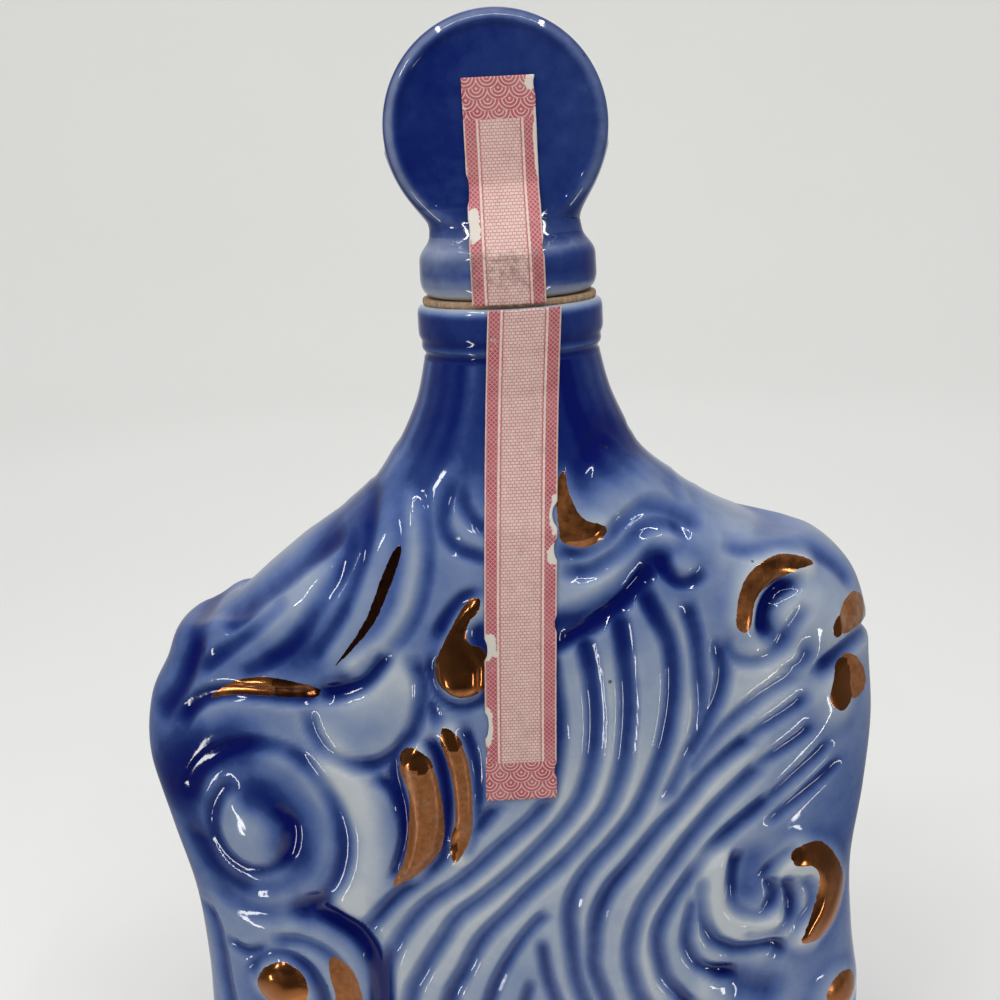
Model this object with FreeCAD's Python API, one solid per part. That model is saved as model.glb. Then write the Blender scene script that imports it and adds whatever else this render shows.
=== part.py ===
import FreeCAD, Part
import math
import os

# A flask-shaped ceramic decanter with a disc-headed stopper, a cork plug, a sealing washer
# and a paper seal strip that is torn in two where the stopper meets the neck.
# Millimetres, +Z up. The origin is on the neck's axis, at the flat base. The front faces -Y.

# Body: the moulded flask, measured outside
body_half_width = 85.0
body_half_depth = 30.0
body_height = 187.0
body_wall = 5.4
floor_thickness = 7.0

# Relief moulded into the flask's front and back: grooves cut into it and forms raised from it
flow_groove_depth = 1.8
flow_groove_half_width = 4.8
scroll_groove_depth = 1.5
scroll_groove_half_width = 4.2
swirl_groove_depth = 1.2
swirl_groove_half_width = 4.6
leaf_groove_depth = 1.3
leaf_groove_half_width = 4.4
pool_depth = 1.4
pool_half_width = 6.0
ball_rise = 2.3
ball_half_width = 8.2
finger_rise = 1.5
finger_half_width = 4.8
crescent_rise = 1.5
crescent_half_width = 6.0
swell_rise = 1.2
swell_half_width = 9.0
relief_foot = 14.0
strip_margin = 8.0

# Neck: a turned band on top of the flask, with a step and a groove under it
neck_root_radius = 19.6
neck_band_radius = 20.5
neck_band_height = 6.8
neck_band_edge = 1.4
neck_step_radius = 19.9
neck_step_height = 2.4
neck_groove_radius = 19.0
neck_groove_height = 1.4
neck_tuck_depth = 3.0
bore_radius = 13.0
bore_lip = 0.8
bore_depth = 26.0
throat_step = 0.7

# Seal washer on the rim
washer_thickness = 1.4
washer_radius = 19.2
washer_clearance = 0.4

# Stopper: collar, pedestal, disc and the peg that carries the cork
collar_radius = 19.3
collar_height = 11.0
collar_edge = 3.2
disc_radius = 24.0
disc_thickness = 13.0
disc_edge = 4.6
disc_centre_rise = 24.6
disc_lean = 1.2
dish_depth = 0.9
dish_rim = 2.4
dish_slope = 2.2
pedestal_half_width = 16.4
peg_radius = 7.0
peg_length = 22.0
peg_edge = 0.8

# Cork plug: a slightly tapered sleeve on the peg
cork_clearance = 0.2
cork_taper = 0.5
cork_edge = 0.8
peg_fit = 0.05

# Paper seal strip, in two lengths
strip_width = 15.4
strip_thickness = 0.2
strip_gap = 0.3
upper_strip_top_rise = 34.6
upper_strip_leave_rise = 13.0
upper_strip_overhang = 0.9
upper_strip_shift = -0.3
lower_strip_length = 105.4
lower_strip_top_shift = 2.8
lower_strip_bend_shift = 0.6
lower_strip_bottom_shift = -3.1

# Fineness of the moulded surfaces: control points round a section and from base to neck
ring_count = 108
row_count = 56
cavity_ring_count = 48
cavity_row_count = 30
strip_row_count = 26
strip_column_count = 9
length_sample_count = 720
stroke_step_count = 5
halving_count = 30
spline_degree = 3
overrun = 2.0
match_tolerance = 0.02

# Sections of the flask from the base to the neck. Widths and depths are shares of the way
# from the neck's radius to the widest half width and half depth; heights are shares of the
# body's height. Squareness is the power of the section's superellipse: 2 is an ellipse.
# Left width, left height, right width, right height, centre height, depth, squareness
section_shares = (
    (0.862, 0.000, 0.801, 0.000, 0.000, 0.57, 2.80),
    (0.931, 0.048, 0.855, 0.048, 0.048, 0.87, 2.70),
    (0.950, 0.144, 0.890, 0.139, 0.144, 1.00, 2.60),
    (0.945, 0.241, 0.865, 0.241, 0.241, 1.04, 2.60),
    (0.963, 0.342, 0.859, 0.337, 0.342, 1.04, 2.60),
    (1.022, 0.439, 0.902, 0.439, 0.444, 1.04, 2.60),
    (1.072, 0.529, 0.927, 0.529, 0.540, 1.00, 2.60),
    (1.049, 0.599, 0.920, 0.604, 0.626, 0.96, 2.50),
    (0.979, 0.647, 0.908, 0.663, 0.695, 0.91, 2.50),
    (0.916, 0.690, 0.855, 0.722, 0.749, 0.82, 2.40),
    (0.771, 0.709, 0.732, 0.765, 0.786, 0.74, 2.35),
    (0.602, 0.751, 0.572, 0.777, 0.816, 0.65, 2.30),
    (0.427, 0.797, 0.404, 0.805, 0.845, 0.52, 2.20),
    (0.258, 0.840, 0.251, 0.845, 0.874, 0.39, 2.10),
    (0.136, 0.885, 0.133, 0.883, 0.906, 0.25, 2.05),
    (0.041, 0.947, 0.040, 0.947, 0.955, 0.11, 2.00),
    (0.000, 1.000, 0.000, 1.000, 1.000, 0.00, 2.00),
)
middle_squareness = 2.6

# Lines of the relief, drawn on the front as points across and up, in shares of the half width.
# The main grooves that flow down from the strip and fan out to the right edge
flow_shares = (
    ((.045, 1.51), (.066, 1.30), (.035, 1.12), (-.104, .958), (-.27, .827), (-.385, .696), (-.43, .50)),
    ((.222, 1.595), (.243, 1.44), (.24, 1.25), (.18, 1.05), (.05, .904), (-.21, .61), (-.27, .36)),
    ((.40, 1.60), (.435, 1.40), (.425, 1.24), (.33, 1.05)),
    ((.73, 1.31), (.592, 1.235), (.438, 1.12), (.28, .942), (.158, .78), (.135, .62), (.18, .44), (.29, .29)),
    ((.79, 1.17), (.69, 1.096), (.527, .98), (.38, .82), (.304, .658), (.325, .55), (.41, .44)),
    ((.023, .777), (-.065, .68), (-.135, .558), (-.17, .38), (-.15, .27)),
    ((.03, 1.50), (.13, 1.53), (.235, 1.598), (.32, 1.69)),
    ((-.60, .79), (-.49, .715), (-.446, .61), (-.455, .44), (-.48, .34)),
)
# The scrolls at the lower right, at the lower left and on the right shoulder
scroll_shares = (
    ((.44, .86), (.43, .757), (.458, .65), (.54, .61), (.62, .61), (.62, .56)),
    ((.53, .91), (.503, .79), (.55, .708), (.615, .725), (.615, .80), (.66, .87)),
    ((-.80, .56), (-.71, .642), (-.615, .57), (-.61, .44), (-.74, .38)),
    ((.50, 1.50), (.56, 1.42), (.66, 1.45), (.72, 1.55)),
    ((1.00, 1.435), (.84, 1.41), (.74, 1.34)),
    ((-.275, 1.28), (-.228, 1.12), (-.265, .92)),
    ((-.25, 1.50), (-.21, 1.375), (-.09, 1.45)),
)
# The large swirl at the left
swirl_shares = (
    ((-.69, 1.09), (-.645, 1.04), (-.69, .915), (-.81, .912), (-.857, 1.04), (-.78, 1.155)),
    ((-.925, 1.07), (-.85, 1.21), (-.70, 1.265), (-.56, 1.18), (-.50, 1.02), (-.53, .88), (-.63, .80)),
    ((-.90, .85), (-.76, .768), (-.62, .80)),
)
# Leaves under the neck and on the left shoulder, and the sweep to the right of the strip
leaf_shares = (
    ((-.285, 1.87), (-.30, 1.68), (-.395, 1.53), (-.55, 1.44)),
    ((-.42, 1.80), (-.53, 1.62), (-.66, 1.48)),
    ((-.62, 1.62), (-.77, 1.51), (-.84, 1.45)),
    ((-.93, 1.29), (-.85, 1.375), (-.70, 1.395), (-.53, 1.40), (-.42, 1.43), (-.345, 1.52)),
    ((-.30, 1.50), (-.28, 1.36), (-.345, 1.245), (-.46, 1.21), (-.56, 1.29), (-.575, 1.36)),
    ((.08, 1.745), (.20, 1.76), (.32, 1.83), (.47, 1.77)),
)
# Sunk pools, round balls, narrow fingers, gilt crescents and broad swells
pool_shares = (
    ((.06, 1.555), (.20, 1.605), (.32, 1.71)),
    ((-.96, 1.10), (-.85, 1.22), (-.78, 1.24)),
    ((-.62, .785), (-.51, .735), (-.45, .60), (-.45, .50)),
    ((.655, 1.60), (.61, 1.51), (.63, 1.475)),
    ((.56, .86), (.55, .79)),
    ((.50, .53), (.60, .48)),
)
ball_shares = (
    ((-.17, 1.45), (-.175, 1.43)),
    ((-.72, .57), (-.70, .55)),
    ((.81, .40), (.82, .38)),
)
finger_shares = (
    ((-.30, 1.22), (-.285, 1.12), (-.33, .91)),
    ((-.21, 1.29), (-.182, 1.10), (-.205, .95)),
)
crescent_shares = (
    ((.455, .87), (.49, .72), (.62, .66)),
    ((.65, .83), (.735, .76), (.68, .63)),
    ((.69, .865), (.79, .74), (.72, .61)),
    ((.55, 1.55), (.57, 1.62), (.71, 1.65)),
    ((-.51, 1.20), (-.44, 1.00), (-.50, .81)),
)
swell_shares = (
    ((.74, 1.53), (.78, 1.50)),
    ((.78, 1.30), (.80, 1.26)),
    ((-.38, 1.43), (-.48, 1.30)),
    ((-.55, 1.66), (-.63, 1.59)),
)
groove_power = 1.3
groove_end_share = 1.6
pressed_share = 0.35
net_gain_share = 1.6

# Stopper pedestal, from the collar up into the disc: height as a share of the way from the
# collar's top to the disc's centre, width and depth as shares of the pedestal's half width.
pedestal_shares = (
    (-0.07, 1.04, 0.90),
    (0.20, 1.00, 0.54),
    (0.48, 1.13, 0.36),
    (0.80, 1.20, 0.24),
)

rim_height = body_height + neck_groove_height + neck_step_height + neck_band_height + neck_groove_height
washer_top = rim_height + washer_thickness
collar_top = washer_top + collar_height
disc_centre = collar_top + disc_centre_rise
section_last = len(section_shares) - 1


def between(start, end, share):
    return start + (end - start) * share


def smooth_curve(before, start, end, after, share):
    """A cubic that passes through start and end and heads along its neighbours."""
    turn = 2 * before - 5 * start + 4 * end - after
    swing = 3 * start - before - 3 * end + after
    return 0.5 * (2 * start + (end - before) * share + turn * share ** 2 + swing * share ** 3)


def section_at(level):
    """The row of section shares at a level from 0, the base, to 1, the neck."""
    place = min(max(level, 0.0), 1.0) * section_last
    index = min(int(place), section_last - 1)
    rows = [section_shares[min(max(index + step, 0), section_last)] for step in (-1, 0, 1, 2)]
    return [smooth_curve(*column, place - index) for column in zip(*rows)]


class Flask:
    """The flask's smooth form, drawn in by a wall for the cavity inside it."""

    def __init__(self, wall, top_radius):
        self.half_width = body_half_width - wall
        self.half_depth = body_half_depth - wall
        self.top_radius = top_radius

    def sizes(self, level):
        """Half widths left and right, their heights, the middle's height, depth, squareness."""
        left, left_rise, right, right_rise, rise, depth, squareness = section_at(level)
        return (
            between(self.top_radius, self.half_width, left),
            left_rise * body_height,
            between(self.top_radius, self.half_width, right),
            right_rise * body_height,
            rise * body_height,
            between(self.top_radius, self.half_depth, depth),
            squareness,
        )

    def point(self, level, angle):
        """A point of the section at a level, by the superellipse's own angle."""
        left, left_rise, right, right_rise, rise, depth, squareness = self.sizes(level)
        across = math.copysign(abs(math.cos(angle)) ** (2 / squareness), math.cos(angle))
        through = math.copysign(abs(math.sin(angle)) ** (2 / squareness), math.sin(angle))
        reach = right if across > 0 else left
        side_rise = right_rise if across > 0 else left_rise
        height = between(rise, side_rise, across ** 2)
        return FreeCAD.Vector(across * reach, through * depth, height)

    def front_depth(self, across, height):
        """How far the front stands out from the axis at a place on the face."""
        low, high = 0.0, 1.0
        for halving in range(halving_count):
            level = (low + high) / 2
            left, left_rise, right, right_rise, rise, depth, squareness = self.sizes(level)
            reach = right if across > 0 else left
            side_rise = right_rise if across > 0 else left_rise
            share = min(abs(across) / reach, 1.0)
            if between(rise, side_rise, share ** 2) < height:
                low = level
            else:
                high = level
        return depth * (1 - share ** squareness) ** (1 / squareness)


def stroke_line(points):
    """A smooth line of short steps through a stroke's points, in millimetres."""
    last = len(points) - 1
    line = []
    for index in range(last):
        rows = [points[min(max(index + step, 0), last)] for step in (-1, 0, 1, 2)]
        for step in range(stroke_step_count):
            line.append([smooth_curve(*column, step / stroke_step_count) for column in zip(*rows)])
    line.append(points[last])
    return [(across * body_half_width, height * body_half_width) for across, height in line]


class Stroke:
    """One line of the relief, with the half width over which it shapes the skin."""

    def __init__(self, half_width, points):
        line = stroke_line(points)
        self.half_width = half_width
        self.steps = list(zip(line, line[1:]))
        self.left = min(across for across, height in line) - half_width
        self.right = max(across for across, height in line) + half_width
        self.bottom = min(height for across, height in line) - half_width
        self.top = max(height for across, height in line) + half_width
        self.length = sum(math.dist(start, end) for start, end in self.steps)

    def nearness(self, across, height):
        """One on the line and zero at its half width or past it, and the distance to its end."""
        if not (self.left < across < self.right and self.bottom < height < self.top):
            return 0.0, 0.0
        nearest = self.half_width
        from_end = 0.0
        walked = 0.0
        for start, end in self.steps:
            run = end[0] - start[0]
            climb = end[1] - start[1]
            length = math.hypot(run, climb)
            ahead = ((across - start[0]) * run + (height - start[1]) * climb) / length ** 2
            share = min(max(ahead, 0.0), 1.0)
            away = math.hypot(across - start[0] - share * run, height - start[1] - share * climb)
            if away < nearest:
                nearest = away
                along = walked + share * length
                from_end = min(along, self.length - along)
            walked += length
        return 1 - (nearest / self.half_width) ** 2, from_end


class Relief:
    """The moulded waves, scrolls, swirl and leaves of the flask's two faces."""

    def __init__(self):
        self.grooves = []
        for depth, half_width, lines in (
            (flow_groove_depth, flow_groove_half_width, flow_shares),
            (scroll_groove_depth, scroll_groove_half_width, scroll_shares),
            (swirl_groove_depth, swirl_groove_half_width, swirl_shares),
            (leaf_groove_depth, leaf_groove_half_width, leaf_shares),
        ):
            self.grooves += [(depth, Stroke(half_width, points)) for points in lines]
        self.forms = []
        for rise, half_width, lines in (
            (-pool_depth, pool_half_width, pool_shares),
            (ball_rise, ball_half_width, ball_shares),
            (finger_rise, finger_half_width, finger_shares),
            (crescent_rise, crescent_half_width, crescent_shares),
            (swell_rise, swell_half_width, swell_shares),
        ):
            self.forms += [(rise, Stroke(half_width, points)) for points in lines]

    def height(self, across, height):
        """How far the skin stands out from the smooth form at a place on the face."""
        cut = 0.0
        for depth, stroke in self.grooves:
            near, from_end = stroke.nearness(across, height)
            fade = min(from_end / (stroke.half_width * groove_end_share), 1.0)
            cut = max(cut, depth * fade * near ** groove_power)
        raised = sum(rise * stroke.nearness(across, height)[0] ** 2 for rise, stroke in self.forms)
        return (raised - cut) * min(height / relief_foot, 1.0)


def strip_middle(share):
    """Where the lower strip's middle line lies, by the share of its length from the rim."""
    straight = between(lower_strip_top_shift, lower_strip_bottom_shift, share)
    return straight - lower_strip_bend_shift * 4 * share * (1 - share)


def strip_press(relief, place):
    """The relief as it lies under the strip on the front: no form raised, grooves shallow."""
    if place.y > 0:
        return relief
    share = (rim_height - place.z) / lower_strip_length
    beside = (abs(place.x - strip_middle(share)) - strip_width / 2) / strip_margin
    below = (share - 1) * lower_strip_length / strip_margin
    clear = min(max(beside, below, 0.0), 1.0)
    return relief * (clear if relief > 0 else between(pressed_share, 1, clear))


def even_shares(lengths, count):
    """Positions, as shares of a list of steps, that divide its whole length evenly."""
    whole = sum(lengths)
    marks = []
    walked = 0.0
    for index, length in enumerate(lengths):
        while len(marks) < count and walked + length >= whole * len(marks) / count:
            part = (whole * len(marks) / count - walked) / length
            marks.append((index + part) / len(lengths))
        walked += length
    return marks


def ring_angles(count):
    """Angles that space points evenly round the flask's middle section."""
    samples = []
    for step in range(length_sample_count + 1):
        angle = 2 * math.pi * step / length_sample_count
        across = abs(math.cos(angle)) ** (2 / middle_squareness) * body_half_width
        through = abs(math.sin(angle)) ** (2 / middle_squareness) * body_half_depth
        samples.append((across, through))
    lengths = [math.dist(start, end) for start, end in zip(samples, samples[1:])]
    return [2 * math.pi * share for share in even_shares(lengths, count)]


def row_levels(count):
    """Levels, base and neck included, that space rows evenly along the flask's sides."""
    flask = Flask(0.0, neck_root_radius)
    sides = [flask.sizes(step / length_sample_count)[:4] for step in range(length_sample_count + 1)]
    lengths = [math.dist(start, end) for start, end in zip(sides, sides[1:])]
    return even_shares(lengths, count - 1) + [1.0]


def moulded_solid(rings):
    """A closed solid over rows of control points, each row a ring round the axis."""
    columns = [list(column) for column in zip(*rings)]
    around = len(columns)
    inner = len(rings) - spline_degree - 1
    surface = Part.BSplineSurface()
    surface.buildFromPolesMultsKnots(
        columns,
        [1] * (around + 1),
        [spline_degree + 1] + [1] * inner + [spline_degree + 1],
        list(range(around + 1)),
        list(range(inner + 2)),
        True,
        False,
        spline_degree,
        spline_degree,
    )
    skin = surface.toShape()
    rims = [edge for edge in skin.Edges if edge.BoundBox.ZLength < match_tolerance]
    caps = [Part.Face(Part.Wire([edge])).reversed() for edge in rims]
    return Part.Solid(Part.Shell([skin] + caps))


def turned(points):
    """A solid turned about the neck's axis, from a closed outline."""
    outline = Part.makePolygon(points + points[:1])
    return Part.Face(outline).revolve(FreeCAD.Vector(), FreeCAD.Vector(0, 0, 1), 360)


def body_skin():
    """The flask's outside: its smooth form, pushed in and out along its normals by the relief."""
    flask = Flask(0.0, neck_root_radius)
    relief = Relief()
    angles = ring_angles(ring_count)
    smooth = [[flask.point(level, angle) for angle in angles] for level in row_levels(row_count)]
    rings = [list(ring) for ring in smooth]
    for row in range(1, row_count - 1):
        for column in range(ring_count):
            place = smooth[row][column]
            rise = strip_press(relief.height(place.x, place.z), place)
            around = smooth[row][(column + 1) % ring_count] - smooth[row][column - 1]
            upward = smooth[row + 1][column] - smooth[row - 1][column]
            rings[row][column] = place + around.cross(upward).normalize() * (rise * net_gain_share)
    return moulded_solid(rings)


def body_cavity():
    """The hollow inside: the flask drawn in by its wall, from the floor to below the cork."""
    throat = bore_radius + throat_step
    flask = Flask(body_wall, throat)
    angles = ring_angles(cavity_ring_count)
    levels = row_levels(cavity_row_count)
    top = rim_height - bore_depth
    rings = []
    for level in levels:
        ring = [flask.point(level, angle) for angle in angles]
        for point in ring:
            point.z = between(floor_thickness, top, point.z / body_height)
        rings.append(ring)
    return moulded_solid(rings)


def neck_band():
    """The turned band, step and groove between the flask and the rim."""
    groove_top = body_height + neck_groove_height
    step_top = groove_top + neck_step_height
    inner = bore_radius - overrun
    profile = [
        (inner, body_height - neck_tuck_depth),
        (neck_groove_radius - neck_band_edge, body_height - neck_tuck_depth),
        (neck_groove_radius, body_height),
        (neck_groove_radius, groove_top),
        (neck_step_radius, groove_top + neck_groove_height / 2),
        (neck_step_radius, step_top),
        (neck_band_radius, step_top + neck_groove_height),
        (neck_band_radius, rim_height),
        (inner, rim_height),
    ]
    band = turned([FreeCAD.Vector(radius, 0, height) for radius, height in profile])
    outer_rim = [edge for edge in band.Edges if is_ring(edge, neck_band_radius, rim_height)]
    return band.makeFillet(neck_band_edge, outer_rim)


def is_ring(edge, radius, height):
    """Whether an edge is a circle of a radius whose middle is at a height."""
    if not hasattr(edge.Curve, "Radius"):
        return False
    off_height = abs(edge.BoundBox.Center.z - height)
    return abs(edge.Curve.Radius - radius) < match_tolerance and off_height < match_tolerance


def decanter_body():
    """The hollow flask with its turned neck and a straight bore for the cork."""
    outside = body_skin().fuse(neck_band())
    bore_bottom = FreeCAD.Vector(0, 0, rim_height - bore_depth - overrun)
    bore = Part.makeCylinder(bore_radius, bore_depth + 2 * overrun, bore_bottom)
    mouth = FreeCAD.Vector(0, 0, rim_height - bore_lip)
    lip = Part.makeCone(bore_radius, bore_radius + bore_lip + overrun, bore_lip + overrun, mouth)
    return outside.cut(body_cavity()).cut(bore).cut(lip).removeSplitter()


def seal_washer():
    """The flat ring between the rim and the stopper's collar."""
    seat = FreeCAD.Vector(0, 0, rim_height)
    ring = Part.makeCylinder(washer_radius, washer_thickness, seat)
    return ring.cut(Part.makeCylinder(bore_radius + washer_clearance, washer_thickness, seat))


def ellipse_wire(middle, half_width, half_depth):
    """A level ellipse round a middle point, wider than it is deep."""
    return Part.Wire([Part.Ellipse(middle, half_width, half_depth).toShape()])


def stopper_disc():
    """The upright disc, rounded at its edge and dished on both faces."""
    back = FreeCAD.Vector(-disc_lean, -disc_thickness / 2, disc_centre)
    disc = Part.makeCylinder(disc_radius, disc_thickness, back, FreeCAD.Vector(0, 1, 0))
    rims = [edge for edge in disc.Edges if is_ring(edge, disc_radius, disc_centre)]
    disc = disc.makeFillet(disc_edge, rims)
    dish_radius = disc_radius - dish_rim - dish_slope
    deep = dish_depth + overrun
    spread = dish_radius + dish_slope * deep / dish_depth
    for side in (-1, 1):
        floor = FreeCAD.Vector(-disc_lean, side * (disc_thickness / 2 - dish_depth), disc_centre)
        disc = disc.cut(Part.makeCone(dish_radius, spread, deep, floor, FreeCAD.Vector(0, side, 0)))
    return disc


def stopper_head():
    """The collar, pedestal and disc in one casting, with the peg that carries the cork."""
    collar = Part.makeCylinder(collar_radius, collar_height, FreeCAD.Vector(0, 0, washer_top))
    rims = [edge for edge in collar.Edges if is_ring(edge, collar_radius, edge.BoundBox.Center.z)]
    collar = collar.makeFillet(collar_edge, rims)
    wires = []
    for rise_share, width_share, depth_share in pedestal_shares:
        lean = -disc_lean * max(rise_share, 0)
        middle = FreeCAD.Vector(lean, 0, between(collar_top, disc_centre, rise_share))
        half_width = pedestal_half_width * width_share
        wires.append(ellipse_wire(middle, half_width, pedestal_half_width * depth_share))
    pedestal = Part.makeLoft(wires, True)
    peg_end = FreeCAD.Vector(0, 0, washer_top - peg_length)
    peg = Part.makeCylinder(peg_radius, peg_length + collar_edge, peg_end)
    peg_rim = [edge for edge in peg.Edges if is_ring(edge, peg_radius, peg_end.z)]
    peg = peg.makeChamfer(peg_edge, peg_rim)
    return collar.fuse([stopper_disc(), pedestal, peg]).removeSplitter()


def cork_plug():
    """The tapered cork sleeve, seated under the collar and round the peg."""
    top_radius = bore_radius - cork_clearance
    end_radius = top_radius - cork_taper
    end = washer_top - peg_length
    profile = [
        (peg_radius + peg_fit, end),
        (end_radius - cork_edge, end),
        (end_radius, end + cork_edge),
        (top_radius, washer_top),
        (peg_radius + peg_fit, washer_top),
    ]
    return turned([FreeCAD.Vector(radius, 0, height) for radius, height in profile])


def paper_solid(rows):
    """A thin sheet over rows of control points, given its thickness towards the front."""
    surface = Part.BSplineSurface()
    inner_rows = len(rows) - spline_degree - 1
    inner_columns = len(rows[0]) - spline_degree - 1
    ends = [spline_degree + 1]
    surface.buildFromPolesMultsKnots(
        rows,
        ends + [1] * inner_rows + ends,
        ends + [1] * inner_columns + ends,
        list(range(inner_rows + 2)),
        list(range(inner_columns + 2)),
        False,
        False,
        spline_degree,
        spline_degree,
    )
    sheet = surface.toShape()
    return sheet.extrude(FreeCAD.Vector(0, -strip_thickness, 0))


def round_front(radius, across):
    """How far a round of a radius stands out from the axis at a distance across."""
    return math.sqrt(radius ** 2 - across ** 2)


def strip_offsets():
    """Distances of a strip's columns of points from its middle line."""
    shares = [column / (strip_column_count - 1) for column in range(strip_column_count)]
    return [between(-strip_width / 2, strip_width / 2, share) for share in shares]


def stopper_strip():
    """The upper length of the strip: down the disc's face, over the collar and past the washer."""
    face = disc_thickness / 2 - dish_depth
    top = collar_top + upper_strip_top_rise
    leave = collar_top + upper_strip_leave_rise
    crease = collar_top - collar_edge / 2
    end = washer_top - upper_strip_overhang
    rows = []
    for row in range(strip_row_count):
        height = between(top, end, row / (strip_row_count - 1))
        slope = min(max((leave - height) / (leave - crease), 0.0), 1.0)
        line = []
        for offset in strip_offsets():
            across = offset + upper_strip_shift
            depth = between(face, round_front(collar_radius, across), slope) + strip_gap
            line.append(FreeCAD.Vector(across, -depth, height))
        rows.append(line)
    return paper_solid(rows)


def body_strip():
    """The lower length of the strip: from the rim, down the neck and over the belly."""
    flask = Flask(0.0, neck_root_radius)
    rows = []
    for row in range(strip_row_count):
        share = row / (strip_row_count - 1)
        height = rim_height - lower_strip_length * share
        line = []
        for offset in strip_offsets():
            across = strip_middle(share) + offset
            depth = max(round_front(neck_band_radius, across), flask.front_depth(across, height))
            line.append(FreeCAD.Vector(across, -depth - strip_gap, height))
        rows.append(line)
    return paper_solid(rows)


os.makedirs("parts", exist_ok=True)
for make in (decanter_body, stopper_head, cork_plug, seal_washer, stopper_strip, body_strip):
    shape = make()
    shape.exportStep("parts/" + make.__name__ + ".step")
    print(make.__name__, shape.ShapeType, len(shape.Solids), shape.isValid(), round(shape.Volume))
cavity_volume = body_cavity().Volume
print("cavity volume", round(cavity_volume))
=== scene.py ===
# %% [markdown]
# A flask-shaped ceramic decanter with a wave relief under cobalt glaze, touches of gilt,
# a disc-headed stopper and a paper seal strip that tore in two when it was first opened.
#
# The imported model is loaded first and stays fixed. Every piece made below sits in the same
# frame, in metres, takes the place of one plain node and moves with that node's body.

# %% Load the frame
import math

import bpy
import numpy as np
from mathutils import Matrix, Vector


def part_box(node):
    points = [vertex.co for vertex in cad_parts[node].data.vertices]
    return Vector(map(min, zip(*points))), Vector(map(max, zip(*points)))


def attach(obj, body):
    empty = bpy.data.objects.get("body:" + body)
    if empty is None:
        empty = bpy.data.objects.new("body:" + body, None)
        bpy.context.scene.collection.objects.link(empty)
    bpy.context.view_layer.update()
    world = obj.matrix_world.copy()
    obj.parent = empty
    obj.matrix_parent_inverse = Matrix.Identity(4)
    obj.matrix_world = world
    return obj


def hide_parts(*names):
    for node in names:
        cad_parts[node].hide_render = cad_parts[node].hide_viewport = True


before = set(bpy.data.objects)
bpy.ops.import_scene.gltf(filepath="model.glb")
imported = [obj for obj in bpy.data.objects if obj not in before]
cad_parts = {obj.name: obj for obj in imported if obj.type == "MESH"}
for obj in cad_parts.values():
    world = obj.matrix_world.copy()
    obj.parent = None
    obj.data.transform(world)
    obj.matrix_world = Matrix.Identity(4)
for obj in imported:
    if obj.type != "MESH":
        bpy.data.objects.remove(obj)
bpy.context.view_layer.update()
mm = 0.001

# %% [markdown]
# The camera comes first, so that every later step can be looked at from the photograph's
# place. It stands close in front of the flask, looks down by fourteen degrees and is rolled
# a little, which makes the neck lean in the picture although it stands upright.

# %% Camera
camera_place = (-4.4 * mm, -305.6 * mm, 229.6 * mm)
camera_pitch = math.radians(14.0)
camera_roll = math.radians(3.0)
focal_pixels = 1374.0
picture_pixels = 1000.0

camera_data = bpy.data.cameras.new("camera")
camera_data.sensor_width = 36.0
camera_data.lens = camera_data.sensor_width * focal_pixels / picture_pixels
camera_data.clip_start = 10 * mm
camera = bpy.data.objects.new("camera", camera_data)
bpy.context.collection.objects.link(camera)
tilt = Matrix.Rotation(math.pi / 2 - camera_pitch, 4, "X") @ Matrix.Rotation(-camera_roll, 4, "Z")
camera.matrix_world = Matrix.Translation(camera_place) @ tilt
bpy.context.scene.camera = camera
print("lens", round(camera_data.lens, 2), "mm")

# %% [markdown]
# The flask's smooth form is a stack of sections from the base to the neck. Each one is a
# superellipse, which is an ellipse with fuller corners, and its left and right ends have their
# own reach and height, because the two shoulders differ. The table repeats the shares that the
# solid was built from, so that the skin made here lies on the solid.

# %% Smooth form of the flask
body_half_width = 85.0 * mm
body_half_depth = 30.0 * mm
body_height = 187.0 * mm
body_wall = 5.4 * mm
floor_thickness = 7.0 * mm
neck_root_radius = 19.6 * mm
middle_squareness = 2.6
front_halvings = 26

# Left width, left height, right width, right height, centre height, depth, squareness
section_shares = np.array((
    (0.862, 0.000, 0.801, 0.000, 0.000, 0.57, 2.80),
    (0.931, 0.048, 0.855, 0.048, 0.048, 0.87, 2.70),
    (0.950, 0.144, 0.890, 0.139, 0.144, 1.00, 2.60),
    (0.945, 0.241, 0.865, 0.241, 0.241, 1.04, 2.60),
    (0.963, 0.342, 0.859, 0.337, 0.342, 1.04, 2.60),
    (1.022, 0.439, 0.902, 0.439, 0.444, 1.04, 2.60),
    (1.072, 0.529, 0.927, 0.529, 0.540, 1.00, 2.60),
    (1.049, 0.599, 0.920, 0.604, 0.626, 0.96, 2.50),
    (0.979, 0.647, 0.908, 0.663, 0.695, 0.91, 2.50),
    (0.916, 0.690, 0.855, 0.722, 0.749, 0.82, 2.40),
    (0.771, 0.709, 0.732, 0.765, 0.786, 0.74, 2.35),
    (0.602, 0.751, 0.572, 0.777, 0.816, 0.65, 2.30),
    (0.427, 0.797, 0.404, 0.805, 0.845, 0.52, 2.20),
    (0.258, 0.840, 0.251, 0.845, 0.874, 0.39, 2.10),
    (0.136, 0.885, 0.133, 0.883, 0.906, 0.25, 2.05),
    (0.041, 0.947, 0.040, 0.947, 0.955, 0.11, 2.00),
    (0.000, 1.000, 0.000, 1.000, 1.000, 0.00, 2.00),
))


def between(start, end, share):
    """A value part of the way from a start to an end."""
    return start + (end - start) * share


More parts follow.
